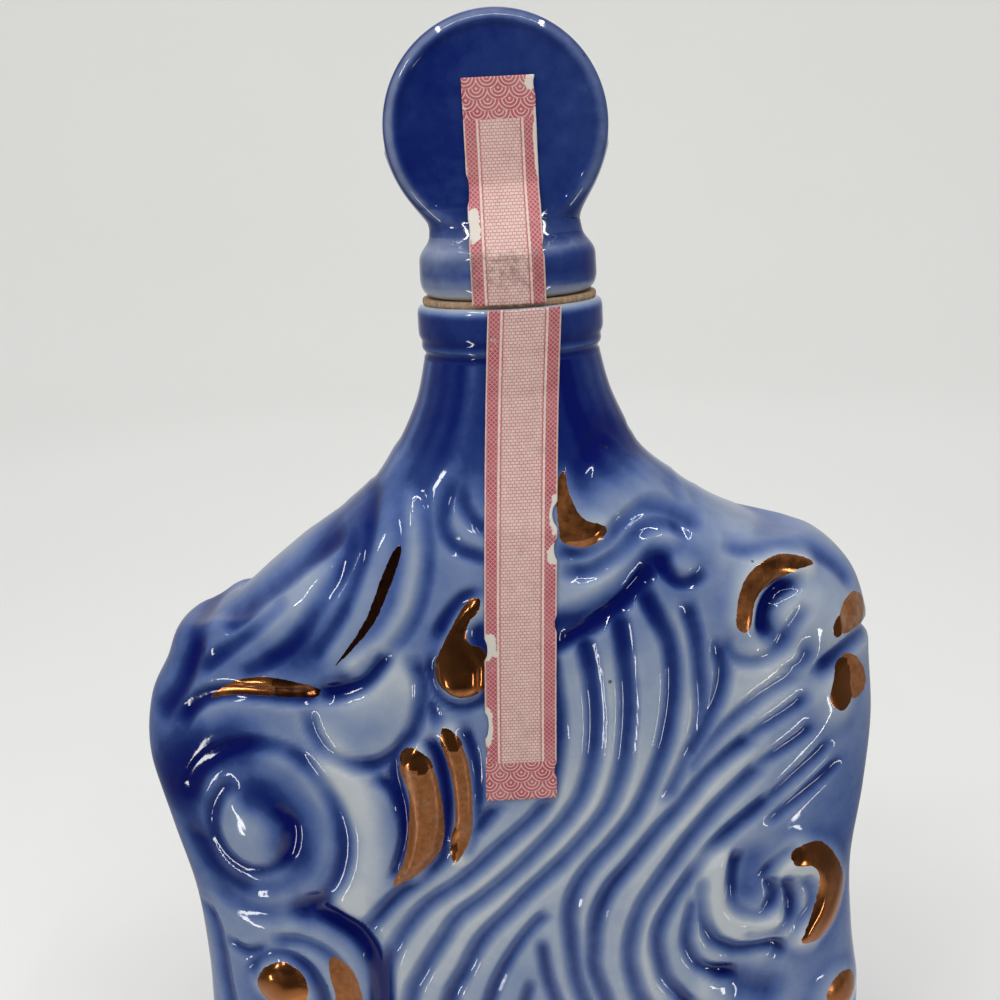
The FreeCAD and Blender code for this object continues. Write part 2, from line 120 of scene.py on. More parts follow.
def smooth_through(rows, place):
    """Rows of values read at fractional places, on a cubic through its neighbours."""
    last = len(rows) - 1
    index = np.clip(place.astype(int), 0, last - 1)
    share = (place - index)[..., None]
    before, start, end, after = (rows[np.clip(index + step, 0, last)] for step in (-1, 0, 1, 2))
    turn = 2 * before - 5 * start + 4 * end - after
    swing = 3 * start - before - 3 * end + after
    return 0.5 * (2 * start + (end - before) * share + turn * share**2 + swing * share**3)


def flask_sizes(level, wall=0.0, top_radius=neck_root_radius):
    """Left reach and height, right reach and height, middle height, depth and squareness."""
    level = np.clip(np.asarray(level, float), 0.0, 1.0)
    shares = smooth_through(section_shares, level * (len(section_shares) - 1))
    left, left_rise, right, right_rise, rise, depth, squareness = np.moveaxis(shares, -1, 0)
    half_width = body_half_width - wall
    left_reach = between(top_radius, half_width, left)
    right_reach = between(top_radius, half_width, right)
    half_depth = between(top_radius, body_half_depth - wall, depth)
    rises = [share * body_height for share in (left_rise, right_rise, rise)]
    return left_reach, rises[0], right_reach, rises[1], rises[2], half_depth, squareness


def flask_points(levels, angles, wall=0.0, top_radius=neck_root_radius):
    """Points of the flask's surface, one row for each level and one column for each angle."""
    sizes = [size[:, None] for size in flask_sizes(levels, wall, top_radius)]
    left, left_rise, right, right_rise, rise, depth, squareness = sizes
    cosine, sine = np.cos(angles)[None, :], np.sin(angles)[None, :]
    across = np.sign(cosine) * np.abs(cosine) ** (2 / squareness)
    through = np.sign(sine) * np.abs(sine) ** (2 / squareness)
    reach = np.where(across > 0, right, left)
    height = between(rise, np.where(across > 0, right_rise, left_rise), across**2)
    return np.stack([across * reach, through * depth, height], axis=-1)


def front_depth(across, height):
    """How far the smooth front stands out from the axis at places on the face."""
    low, high = np.zeros_like(across), np.ones_like(across)
    for halving in range(front_halvings):
        level = (low + high) / 2
        left, left_rise, right, right_rise, rise, depth, squareness = flask_sizes(level)
        share = np.minimum(np.abs(across) / np.where(across > 0, right, left), 1.0)
        lower = between(rise, np.where(across > 0, right_rise, left_rise), share**2) < height
        low, high = np.where(lower, level, low), np.where(lower, high, level)
    return depth * (1 - share**squareness) ** (1 / squareness)


sample_heights = np.array([60, 110, 160]) * mm
print("front stands out", np.round(front_depth(np.zeros(3), sample_heights) / mm, 1), "mm")

# %% [markdown]
# The waves and swirls were pressed from a mould that was carved with a few gouges. So the
# relief is drawn here as strokes: creases are narrow cuts, and swells are soft raised or sunken
# ribbons. Every stroke is a short list of points, in shares of the flask's half
# width, measured across from the neck's axis and up from the base.

# %% Strokes of the relief
# Depth and half width in millimetres, then the stroke's points
crease_shares = (
    # the long flow of the waves, from the strip down to the base and over to the right edge
    (1.5, 3.0, ((-.09, 1.10), (-.13, 1.05), (-.18, 1.0), (-.25, .94), (-.32, .88), (-.40, .81),
                (-.47, .73))),
    (1.6, 3.0, ((.045, 1.51), (.054, 1.45), (.062, 1.37), (.066, 1.29), (.055, 1.20), (.035, 1.12),
                (0, 1.05), (-.104, .958), (-.2, .873), (-.27, .827), (-.315, .79), (-.354, .742),
                (-.385, .696), (-.408, .65), (-.425, .6), (-.43, .5), (-.42, .38), (-.39, .25))),
    (1.7, 3.0, ((.13, 1.545), (.146, 1.48), (.158, 1.40), (.162, 1.30), (.152, 1.2), (.125, 1.11),
                (.088, 1.05), (.042, .996), (-.058, .896), (-.15, .82), (-.2, .785), (-.23, .755),
                (-.26, .71), (-.29, .665), (-.323, .61), (-.354, .55), (-.37, .46), (-.36, .36),
                (-.33, .25))),
    (1.7, 3.0, ((.222, 1.595), (.235, 1.53), (.243, 1.44), (.247, 1.35), (.24, 1.25), (.222, 1.15),
                (.18, 1.05), (.104, .958), (.05, .904), (-.035, .827), (-.08, .78), (-.15, .712),
                (-.185, .66), (-.21, .61), (-.25, .54), (-.27, .46), (-.27, .36), (-.24, .25))),
    (1.7, 3.0, ((.285, 1.66), (.305, 1.605), (.33, 1.555), (.354, 1.5), (.364, 1.43), (.362, 1.35),
                (.35, 1.27), (.325, 1.18), (.265, 1.05), (.19, .955), (.142, .904), (.104, .85),
                (.08, .796), (.073, .742), (.077, .688), (.085, .588), (.10, .52), (.13, .44),
                (.17, .36), (.23, .28))),
    (1.4, 2.8, ((.40, 1.6), (.425, 1.5), (.435, 1.4), (.438, 1.31), (.425, 1.24), (.39, 1.165),
                (.33, 1.05))),
    (1.7, 3.0, ((.47, 1.5), (.493, 1.42), (.485, 1.35), (.45, 1.27), (.41, 1.2), (.377, 1.15))),
    (1.3, 2.6, ((.71, 1.375), (.65, 1.35), (.59, 1.32), (.53, 1.28), (.485, 1.242), (.42, 1.165),
                (.385, 1.12))),
    (1.1, 2.2, ((.73, 1.31), (.67, 1.275), (.592, 1.235), (.5, 1.173), (.438, 1.12))),
    (1.7, 3.0, ((.58, 1.228), (.5, 1.173), (.438, 1.12), (.38, 1.05), (.327, .996), (.28, .942),
                (.235, .888), (.188, .835), (.158, .78), (.142, .727), (.135, .665), (.133, .596),
                (.154, .52), (.18, .44), (.22, .37), (.29, .29))),
    (1.1, 2.2, ((.74, 1.225), (.7, 1.198), (.638, 1.165), (.577, 1.13), (.488, 1.05))),
    (1.7, 3.0, ((.6, 1.145), (.488, 1.05), (.442, 1.004), (.388, .942), (.342, .88), (.304, .827),
                (.273, .78), (.25, .727), (.235, .673), (.23, .62), (.238, .565), (.254, .504),
                (.29, .43), (.35, .35))),
    (1.1, 2.2, ((.79, 1.17), (.746, 1.135), (.69, 1.096), (.63, 1.05), (.527, .98))),
    (1.6, 2.8, ((.63, 1.05), (.527, .98), (.465, .927), (.42, .873), (.38, .82), (.342, .765),
                (.312, .71), (.304, .658), (.312, .6), (.325, .55), (.355, .505), (.41, .44))),
    (1.0, 2.2, ((.823, 1.11), (.77, 1.073), (.708, 1.035), (.654, 1.0), (.6, .965))),
    (1.4, 2.4, ((.023, .777), (-.02, .735), (-.065, .68), (-.104, .62), (-.135, .558), (-.16, .48),
                (-.17, .38), (-.15, .27))),
    (1.4, 2.4, ((-.005, .7), (.002, .64), (.01, .58), (.025, .52), (.05, .44), (.09, .36))),
    (1.2, 2.2, ((-.03, .58), (-.05, .527), (-.065, .46), (-.06, .37), (-.03, .29))),
    (1.6, 2.6, ((.03, 1.5), (.08, 1.508), (.13, 1.53), (.18, 1.56), (.235, 1.598), (.28, 1.64),
                (.32, 1.69))),
    # the swirl at the lower right
    (1.5, 2.6, ((.41, .80), (.403, .757), (.39, .70), (.384, .65), (.404, .596), (.435, .565),
                (.475, .545), (.53, .535))),
    (1.7, 2.8, ((.44, .86), (.43, .80), (.43, .757), (.436, .704), (.458, .65), (.496, .623),
                (.54, .61), (.62, .61), (.638, .59), (.62, .56))),
    (1.4, 2.4, ((.53, .91), (.51, .85), (.503, .79), (.51, .74), (.55, .708), (.59, .70), (.615, .725),
                (.628, .76), (.615, .8), (.593, .81))),
    (1.5, 2.2, ((.593, .8), (.62, .835), (.66, .87), (.69, .885))),
    (1.3, 2.2, ((.645, .81), (.668, .76), (.677, .71), (.665, .668), (.63, .645), (.58, .645),
                (.52, .668))),
    (1.2, 2.2, ((.70, .80), (.73, .755), (.728, .70), (.69, .65), (.66, .60))),
    # the swirl at the left
    (1.0, 2.8, ((-.69, 1.09), (-.645, 1.04), (-.65, .97), (-.69, .915), (-.75, .893), (-.81, .912),
                (-.85, .97), (-.857, 1.04), (-.83, 1.11), (-.78, 1.155))),
    (0.5, 4.0, ((-.93, 1.03), (-.912, .95), (-.87, .88), (-.8, .838), (-.73, .845), (-.67, .873),
                (-.61, .94), (-.595, 1.02), (-.61, 1.1), (-.66, 1.16), (-.72, 1.178))),
    (0.9, 3.0, ((-.925, 1.07), (-.9, 1.15), (-.85, 1.21), (-.78, 1.25), (-.7, 1.265), (-.62, 1.24),
                (-.56, 1.18), (-.52, 1.1), (-.5, 1.02), (-.505, .95), (-.53, .88), (-.57, .83),
                (-.63, .8))),
    (0.8, 4.0, ((-.9, .85), (-.84, .79), (-.76, .768), (-.68, .775), (-.62, .8))),
    (0.4, 4.4, ((-.83, 1.3), (-.75, 1.325), (-.67, 1.32), (-.59, 1.285), (-.53, 1.225), (-.49, 1.15))),
    (1.8, 3.2, ((-.6, .79), (-.53, .75), (-.49, .715), (-.46, .665), (-.446, .61), (-.445, .54),
                (-.455, .44), (-.48, .34))),
    # the small wave at the lower left
    (1.1, 2.4, ((-.88, .66), (-.82, .635), (-.77, .645), (-.735, .67))),
    (1.4, 2.6, ((-.8, .56), (-.77, .615), (-.71, .642), (-.65, .62), (-.615, .57), (-.6, .51),
                (-.61, .44), (-.66, .39), (-.74, .38))),
    (1.1, 2.6, ((-.74, .68), (-.66, .69), (-.6, .672), (-.555, .635), (-.53, .58), (-.52, .5),
                (-.535, .42))),
    (1.0, 2.6, ((-.93, .75), (-.9, .68), (-.89, .6), (-.885, .5), (-.87, .4))),
    # leaves that run down from the neck on the left
    (0.7, 2.4, ((-.25, 1.9), (-.238, 1.78), (-.25, 1.68), (-.285, 1.59), (-.345, 1.515), (-.42, 1.46),
                (-.5, 1.43))),
    (0.6, 2.2, ((-.37, 1.9), (-.39, 1.78), (-.425, 1.68), (-.475, 1.58), (-.545, 1.49))),
    (0.8, 2.6, ((-.42, 1.80), (-.46, 1.71), (-.53, 1.62), (-.59, 1.54), (-.67, 1.48), (-.75, 1.44))),
    (1.2, 2.6, ((-.45, 1.80), (-.52, 1.745), (-.6, 1.68), (-.7, 1.61), (-.79, 1.55))),
    (0.9, 2.4, ((-.60, 1.64), (-.7, 1.56), (-.77, 1.51), (-.86, 1.44))),
    (0.9, 2.8, ((-.86, 1.54), (-.872, 1.49), (-.9, 1.43), (-.94, 1.36), (-.99, 1.31))),
    (1.6, 2.8, ((-.93, 1.29), (-.9, 1.335), (-.85, 1.375), (-.78, 1.395), (-.7, 1.395), (-.6, 1.39),
                (-.53, 1.4))),
    (1.4, 2.8, ((-.55, 1.40), (-.48, 1.405), (-.42, 1.43), (-.38, 1.47), (-.345, 1.52))),
    (1.5, 2.8, ((-.3, 1.5), (-.275, 1.43), (-.28, 1.36), (-.305, 1.295), (-.345, 1.245), (-.4, 1.213),
                (-.46, 1.21), (-.52, 1.235), (-.56, 1.29), (-.575, 1.36))),
    (1.4, 2.4, ((-.42, 1.175), (-.375, 1.15), (-.35, 1.1), (-.343, 1.04))),
    # beside the two gilt fingers and the gilt comma
    (1.4, 2.2, ((-.35, 1.26), (-.36, 1.18), (-.343, 1.08), (-.345, .99), (-.385, .88))),
    (1.5, 2.2, ((-.275, 1.28), (-.243, 1.22), (-.228, 1.12), (-.235, 1.02), (-.265, .92))),
    (1.4, 2.2, ((-.18, 1.31), (-.155, 1.22), (-.148, 1.12), (-.16, 1.02), (-.2, .93))),
    (1.3, 2.4, ((-.25, 1.5), (-.245, 1.42), (-.21, 1.375), (-.16, 1.365), (-.11, 1.39), (-.09, 1.45))),
    (1.3, 2.4, ((-.27, 1.4), (-.25, 1.34), (-.235, 1.3))),
    (1.2, 2.4, ((-.1, 1.64), (-.15, 1.64), (-.2, 1.59), (-.235, 1.53))),
    # the leaf to the left of the strip and the sweep to its right
    (1.1, 2.4, ((-.155, 1.93), (-.185, 1.88), (-.195, 1.82), (-.17, 1.77), (-.12, 1.745),
                (-.07, 1.735))),
    (1.1, 2.4, ((-.15, 1.92), (-.14, 1.86), (-.11, 1.82), (-.06, 1.8))),
    (1.2, 2.6, ((.08, 1.745), (.14, 1.738), (.2, 1.76), (.25, 1.8), (.32, 1.83), (.4, 1.8),
                (.47, 1.77))),
    (1.3, 2.8, ((.09, 1.70), (.16, 1.69), (.23, 1.725), (.3, 1.785), (.37, 1.79), (.43, 1.76))),
    (0.4, 3.0, ((.14, 1.86), (.15, 1.93), (.2, 1.99), (.27, 1.97))),
    (0.4, 2.2, ((.2, 2.05), (.27, 1.99), (.34, 1.93), (.40, 1.85), (.43, 1.77))),
    (0.35, 1.8, ((.29, 2.01), (.36, 1.95), (.43, 1.87), (.47, 1.79))),
    (0.3, 1.6, ((.36, 1.98), (.43, 1.91), (.49, 1.84))),
    (1.2, 2.4, ((.35, 1.72), (.355, 1.68), (.385, 1.65), (.425, 1.65), (.46, 1.67))),
    # the scroll on the right shoulder
    (1.2, 2.4, ((.5, 1.5), (.51, 1.45), (.56, 1.42), (.62, 1.424), (.66, 1.45), (.68, 1.5),
                (.72, 1.55))),
    (1.4, 2.4, ((.72, 1.61), (.66, 1.6), (.615, 1.565), (.603, 1.52), (.62, 1.475))),
    (1.1, 2.4, ((.71, 1.46), (.718, 1.41), (.69, 1.385), (.64, 1.38))),
    (1.5, 3.0, ((1.0, 1.435), (.90, 1.42), (.84, 1.41), (.78, 1.38), (.74, 1.34))),
    (1.0, 2.6, ((.50, 1.73), (.58, 1.70), (.66, 1.70), (.75, 1.67), (.82, 1.62), (.87, 1.55))),
)

# Height and half width in millimetres, then the points; a height below zero is a pool
swell_shares = (
    (-1.2, 3.6, ((.06, 1.555), (.13, 1.57), (.2, 1.605), (.26, 1.655), (.32, 1.71))),
    (0.6, 3.5, ((.08, 1.63), (.14, 1.63), (.2, 1.665), (.28, 1.735), (.35, 1.765))),
    (0.9, 3.0, ((.395, 1.685), (.40, 1.68))),
    (-0.25, 5.5, ((-.96, 1.1), (-.92, 1.17), (-.85, 1.22), (-.78, 1.24))),
    (0.9, 7.0, ((-.765, 1.01), (-.75, 1.03))),
    (-0.5, 4.5, ((-.73, 1.12), (-.68, 1.08), (-.645, 1.02), (-.65, .96))),
    (-0.6, 4.0, ((-.9, .95), (-.87, .88), (-.82, .845))),
    (-1.6, 4.2, ((-.62, .785), (-.57, .775), (-.51, .735), (-.47, .68), (-.45, .6), (-.45, .5))),
    (1.2, 5.0, ((-.51, 1.2), (-.455, 1.12), (-.44, 1.0), (-.455, .9), (-.5, .81))),
    (0.8, 8.0, ((-.38, 1.43), (-.42, 1.36), (-.48, 1.30))),
    (1.6, 3.4, ((-.30, 1.22), (-.285, 1.12), (-.29, 1.02), (-.33, .91))),
    (1.2, 2.6, ((-.21, 1.29), (-.188, 1.2), (-.182, 1.1), (-.19, 1.0), (-.205, .95))),
    (2.7, 5.2, ((-.17, 1.45), (-.175, 1.43))),
    (1.0, 2.6, ((-.19, 1.52), (-.16, 1.58), (-.125, 1.62))),
    (-1.2, 2.6, ((-.12, 1.55), (-.115, 1.5))),
    (2.6, 6.0, ((-.72, .57), (-.70, .55))),
    (-0.5, 3.0, ((-.86, 1.54), (-.88, 1.47), (-.92, 1.39), (-.97, 1.32))),
    (-0.3, 5.0, ((-.52, 1.63), (-.57, 1.56), (-.64, 1.49))),
    (-1.0, 3.0, ((-.5, 1.41), (-.43, 1.43), (-.38, 1.48))),
    (1.5, 4.0, ((.455, .87), (.462, .79), (.49, .72), (.55, .675), (.62, .66))),
    (-1.2, 5.0, ((.56, .86), (.55, .79))),
    (1.4, 3.4, ((.65, .83), (.7, .815), (.735, .76), (.72, .69), (.68, .63))),
    (1.8, 4.2, ((.69, .865), (.76, .82), (.79, .74), (.77, .66), (.72, .61))),
    (-1.4, 3.0, ((.655, 1.6), (.615, 1.56), (.61, 1.51), (.63, 1.475))),
    (1.6, 7.0, ((.74, 1.53), (.78, 1.5))),
    (1.4, 4.0, ((.55, 1.55), (.57, 1.62), (.63, 1.66), (.71, 1.65))),
    (1.4, 5.0, ((.78, 1.30), (.8, 1.26))),
    (-1.5, 5.0, ((.5, .53), (.56, .5), (.6, .48))),
    (2.0, 5.5, ((.81, .40), (.82, .38))),
    (1.0, 4.0, ((.44, .5), (.46, .49))),
    (-0.3, 5.0, ((.17, 1.9), (.2, 1.97))),
    (0.6, 6.0, ((.24, 1.88), (.31, 1.86))),
    (1.2, 4.0, ((.1, 1.9), (.12, 1.82), (.17, 1.785))),
    (1.0, 6.0, ((-.55, 1.66), (-.63, 1.59))),
    (0.6, 2.4, ((-.268, 1.87), (-.272, 1.74), (-.305, 1.61), (-.365, 1.53), (-.44, 1.47))),
    (0.4, 2.6, ((-.32, 1.95), (-.345, 1.8), (-.375, 1.7), (-.42, 1.6), (-.49, 1.51))),
)

# The glaze lay deeper or thinner over some stretches, and one stroke is painted shade: change of depth,
# half width and points
tint_shares = (
    (0.17, 9, ((-.93, 1.46), (-.97, 1.36), (-.97, 1.22), (-.95, 1.1))),
    (0.46, 7, ((-.96, 1.12), (-.91, 1.18), (-.84, 1.225), (-.77, 1.245))),
    (0.30, 5, ((-.72, 1.1), (-.68, 1.05), (-.67, .98))),
    (0.20, 3.4, ((-.6, 1.23), (-.55, 1.17), (-.515, 1.1), (-.5, 1.02), (-.505, .95), (-.53, .88),
                 (-.57, .83))),
    (0.16, 5, ((-.74, 1.12), (-.68, 1.09), (-.645, 1.02), (-.655, .95))),
    (0.18, 5, ((-.91, 1.0), (-.88, .91), (-.8, .86))),
    (0.19, 18, ((-.8, 1.2), (-.88, 1.0), (-.78, .86), (-.62, .9), (-.58, 1.1), (-.7, 1.2))),
    (0.20, 20, ((-.88, 1.45), (-.65, 1.57), (-.4, 1.72))),
    (0.22, 6, ((-.6, .78), (-.52, .73), (-.47, .65), (-.45, .5), (-.46, .35))),
    (0.14, 7, ((-.84, 1.48), (-.74, 1.5), (-.62, 1.52))),
    (0.18, 6, ((-.57, 1.49), (-.47, 1.46), (-.38, 1.5))),
    (0.36, 9, ((.06, 1.55), (.16, 1.56), (.25, 1.6), (.31, 1.67))),
    # painted shade: darker where the neck rises from the shoulder, right of the strip
    (0.30, 8, ((.12, 1.98), (.2, 1.98), (.3, 2.02))),
    (0.18, 8, ((-.16, 1.98), (-.3, 1.9), (-.45, 1.77))),
    (0.20, 6, ((.22, 2.04), (.33, 1.94), (.41, 1.83), (.44, 1.72))),
    (0.16, 7, ((.33, 1.74), (.45, 1.6), (.46, 1.4))),
    (0.14, 8, ((.8, 1.05), (.86, .97), (.86, .88))),
    (0.16, 6, ((-.53, 1.36), (-.46, 1.33))),
    (-0.2, 6, ((-.8, 1.335), (-.7, 1.335), (-.6, 1.3), (-.52, 1.22), (-.47, 1.1))),
    (-0.14, 4, ((-.34, 1.48), (-.29, 1.39), (-.32, 1.28), (-.4, 1.24))),
    (-0.19, 12, ((.50, 1.76), (.62, 1.72), (.74, 1.68), (.86, 1.6), (.93, 1.5))),
    (-0.14, 8, ((.52, 1.68), (.5, 1.55), (.53, 1.46), (.61, 1.40))),
    (-0.26, 8, ((.64, 1.37), (.58, 1.33))),
    (-0.15, 9, ((.88, 1.44), (.92, 1.3))),
    (-0.18, 5, ((.58, 1.16), (.45, 1.05), (.33, .93), (.27, .8), (.25, .64), (.28, .52))),
    (-0.18, 14, ((.2, 1.1), (.08, 1.0), (-.1, .86), (-.25, .72))),
    (-0.26, 6, ((.46, .88), (.45, .78), (.49, .70), (.57, .665))),
    (-0.18, 6, ((.66, .84), (.71, .78))),
    (-0.40, 6, ((-.52, 1.16), (-.46, 1.1), (-.435, 1.0), (-.455, .9), (-.5, .83))),
    (-0.22, 8, ((-.36, 1.44), (-.42, 1.38), (-.5, 1.33))),
    (-0.18, 7, ((-.48, 1.73), (-.6, 1.64), (-.72, 1.57))),
    (-0.14, 5, ((-.83, 1.14), (-.76, 1.2), (-.67, 1.21), (-.58, 1.13), (-.55, 1.0))),
    (-0.16, 9, ((-.76, 1.02), (-.76, .98))),
    (-0.16, 8, ((-.85, .74), (-.76, .7), (-.66, .72))),
    (-0.24, 8, ((.2, 1.84), (.3, 1.87), (.4, 1.82))),
    (-0.14, 6, ((-.17, 1.9), (-.16, 1.84))),
    (-0.24, 3, ((-.266, 1.88), (-.27, 1.74), (-.303, 1.61), (-.363, 1.53), (-.44, 1.47))),
    (-0.22, 3.4, ((-.29, 1.96), (-.325, 1.86), (-.35, 1.76), (-.385, 1.66), (-.43, 1.57), (-.5, 1.49))),
    (-0.16, 5, ((.08, 1.65), (.18, 1.66), (.26, 1.72))),
)
print(len(crease_shares), "creases,", len(swell_shares), "swells and", len(tint_shares), "tints")

# %% [markdown]
# A stroke acts on every point near it: the closer a point is to the stroke's line, the deeper
# the cut or the higher the swell. Creases are joined by the deepest one, so that crossing cuts
# don't add up. Their bottoms are round and their shoulders are crisp, so a ridge between two
# of them is a ribbon with a flat top, and light runs along both its edges.

# %% Height of the relief
stroke_step_share = 0.012
crease_fade_share = 1.6
crease_end_share = 0.1
valley_power = 1.3
swell_spread = 1.5
least_square = 1e-12


def stroke_line(points):
    """A smooth line of short steps through a stroke's points."""
    rows = np.array(points, float)
    if len(rows) > 2:
        lengths = np.linalg.norm(np.diff(rows, axis=0), axis=1)
        counts = np.maximum(2, (lengths / stroke_step_share).astype(int) + 1)
        places = [index + np.arange(count) / count for index, count in enumerate(counts)]
        return smooth_through(rows, np.append(np.concatenate(places), len(rows) - 1.0))
    return rows


def line_distance(across, height, line):
    """Each point's distance to a line of steps, and how far along the line that is."""
    nearest = np.full(across.shape, np.inf)
    along = np.zeros(across.shape)
    steps = len(line) - 1
    for index in range(steps):
        (x, z), (dx, dz) = line[index], line[index + 1] - line[index]
        square = max(dx * dx + dz * dz, least_square)
        share = np.clip(((across - x) * dx + (height - z) * dz) / square, 0, 1)
        distance = np.hypot(across - x - share * dx, height - z - share * dz)
        closer = distance < nearest
        nearest[closer] = distance[closer]
        along[closer] = ((index + share) / steps)[closer]
    return nearest, along


def points_near(across, height, line, reach):
    """Numbers of the points inside a line's own box, widened by its reach."""
    low, high = line.min(axis=0) - reach, line.max(axis=0) + reach
    inside = (across > low[0]) & (across < high[0]) & (height > low[1]) & (height < high[1])
    return np.flatnonzero(inside)


def soft_ribbons(across, height, strokes):
    """The sum of soft ribbons along strokes, each as high as its first number."""
    total = np.zeros(across.shape)
    for rise, half_width, points in strokes:
        line = stroke_line(points)
        reach = half_width * swell_spread * mm / body_half_width
        near = points_near(across, height, line, reach)
        distance = line_distance(across[near], height[near], line)[0]
        total[near] += rise * np.clip(1 - (distance / reach) ** 2, 0, 1) ** 2
    return total


def relief_at(across, height):
    """Height of the relief, in millimetres, at places in shares of the half width."""
    crease = np.zeros(across.shape)
    for depth, half_width, points in crease_shares:
        line = stroke_line(points)
        reach = half_width * mm / body_half_width
        near = points_near(across, height, line, reach)
        distance, along = line_distance(across[near], height[near], line)
        length = np.linalg.norm(np.diff(line, axis=0), axis=1).sum()
        from_end = np.minimum(along, 1 - along) * length
        fade = np.minimum(1, from_end / (crease_fade_share * reach) + crease_end_share)
        cut = depth * fade * np.clip(1 - (distance / reach) ** 2, 0, 1) ** valley_power
        crease[near] = np.maximum(crease[near], cut)
    return soft_ribbons(across, height, swell_shares) - crease


print("deepest crease", max(depth for depth, half_width, points in crease_shares), "mm")

# %% [markdown]
# The gilt was brushed by hand on some of the raised forms. Each patch is a closed outline, and
# every point of the skin keeps its distance to the nearest patch's edge, which is above zero
# inside. The glaze material then cuts the patch at zero, so that its edge stays crisp however
# coarse the mesh is.

# %% Gilt patches
# How far a patch is rubbed, from 0 to 1, or below 0 where its colour is painted dark as a painted
# reflection, then its outline
gilt_shares = (
    (-0.5, ((-.305, 1.775), (-.31, 1.74), (-.34, 1.67), (-.38, 1.59), (-.43, 1.53), (-.49, 1.475),
            (-.44, 1.54), (-.40, 1.60), (-.36, 1.69), (-.33, 1.75))),
    (0.25, ((-.845, 1.37), (-.8, 1.406), (-.75, 1.43), (-.70, 1.44), (-.66, 1.441), (-.65, 1.415),
            (-.66, 1.39), (-.70, 1.388), (-.75, 1.388), (-.8, 1.382))),
    (-0.4, ((-.67, 1.441), (-.62, 1.436), (-.57, 1.425), (-.535, 1.408), (-.55, 1.388), (-.6, 1.386),
            (-.66, 1.388), (-.675, 1.42))),
    (-0.2, ((-.115, 1.635), (-.14, 1.635), (-.17, 1.6), (-.205, 1.54), (-.235, 1.48), (-.235, 1.43),
            (-.2, 1.395), (-.16, 1.385), (-.12, 1.40), (-.10, 1.44), (-.10, 1.48), (-.12, 1.51),
            (-.145, 1.52), (-.155, 1.545), (-.145, 1.58), (-.12, 1.605))),
    (0.0, ((-.345, 1.225), (-.325, 1.25), (-.29, 1.247), (-.262, 1.215), (-.262, 1.185), (-.30, 1.185),
           (-.335, 1.205))),
    (0.85, ((-.338, 1.212), (-.31, 1.2), (-.285, 1.195), (-.262, 1.198), (-.25, 1.16), (-.24, 1.07),
            (-.25, .97), (-.30, .91), (-.385, .86), (-.35, .94), (-.335, 1.02), (-.325, 1.12),
            (-.345, 1.19))),
    (0.0, ((-.235, 1.265), (-.228, 1.305), (-.203, 1.297), (-.18, 1.26), (-.19, 1.235), (-.225, 1.24))),
    (0.0, ((-.222, .93), (-.228, .975), (-.212, 1.03), (-.195, 1.02), (-.195, .965))),
    (0.8, ((-.232, 1.25), (-.215, 1.255), (-.195, 1.255), (-.18, 1.25), (-.165, 1.18), (-.165, 1.05),
           (-.18, .98), (-.215, .935), (-.225, .97), (-.21, 1.05), (-.21, 1.15), (-.225, 1.22))),
    (0.35, ((.11, 1.935), (.12, 1.88), (.15, 1.82), (.2, 1.80), (.21, 1.785), (.19, 1.765), (.15, 1.75),
            (.1, 1.765), (.09, 1.80), (.09, 1.9))),
    (0.3, ((.745, 1.64), (.70, 1.665), (.65, 1.678), (.60, 1.67), (.56, 1.645), (.535, 1.6),
           (.525, 1.54), (.53, 1.515), (.55, 1.50), (.565, 1.52), (.57, 1.56), (.59, 1.595),
           (.63, 1.615), (.69, 1.635))),
    (0.95, ((.80, 1.49), (.82, 1.53), (.87, 1.54), (.91, 1.50), (.89, 1.455), (.82, 1.45))),
    (0.1, ((.782, 1.47), (.795, 1.50), (.815, 1.495), (.822, 1.465), (.80, 1.445))),
    (0.1, ((.775, 1.28), (.785, 1.33), (.815, 1.375), (.845, 1.375), (.85, 1.32), (.845, 1.27),
           (.81, 1.245))),
    (0.9, ((.835, 1.385), (.87, 1.37), (.905, 1.31), (.90, 1.27), (.86, 1.26), (.84, 1.28),
           (.845, 1.33))),
    (0.2, ((.67, .875), (.70, .892), (.75, .885), (.79, .84), (.82, .77), (.835, .70), (.82, .63),
           (.77, .595), (.73, .59), (.69, .602), (.705, .64), (.73, .68), (.745, .73), (.74, .79),
           (.715, .83), (.67, .845))),
    (0.2, ((-.775, .55), (-.755, .6), (-.705, .625), (-.655, .6), (-.635, .55), (-.655, .5),
           (-.705, .475), (-.755, .5))),
    (0.6, ((-.57, .645), (-.52, .62), (-.50, .57), (-.495, .50), (-.52, .44), (-.56, .40), (-.575, .45),
           (-.565, .53), (-.575, .6))),
    (0.4, ((.77, .40), (.785, .435), (.82, .45), (.855, .435), (.87, .40), (.855, .365), (.82, .35),
           (.785, .365))),
)
gilt_reach_share = 0.06
outline_steps = 6


def gilt_at(across, height):
    """Distance inside the nearest gilt patch, in millimetres, and how far that patch is rubbed."""
    inside_by = np.full(across.shape, -gilt_reach_share)
    rubbed = np.zeros(across.shape)
    for wear, points in gilt_shares:
        rows = np.array(points + points[:3], float)
        places = 1 + np.arange(len(points) * outline_steps + 1) / outline_steps
        line = smooth_through(rows, places)
        near = points_near(across, height, line, gilt_reach_share)
        x, z = across[near], height[near]
        distance = line_distance(x, z, line)[0]
        inside = np.zeros(x.shape, bool)
        for (x0, z0), (x1, z1) in zip(line, line[1:]):
            if z0 != z1:
                crosses = (z0 > z) != (z1 > z)
                inside ^= crosses & (x < x0 + (z - z0) * (x1 - x0) / (z1 - z0))
        signed = np.where(inside, distance, -distance)
        rubbed[near] = np.where(signed > inside_by[near], wear, rubbed[near])
        inside_by[near] = np.maximum(inside_by[near], signed)
    return inside_by * body_half_width / mm, rubbed


print(len(gilt_shares), "gilt patches")

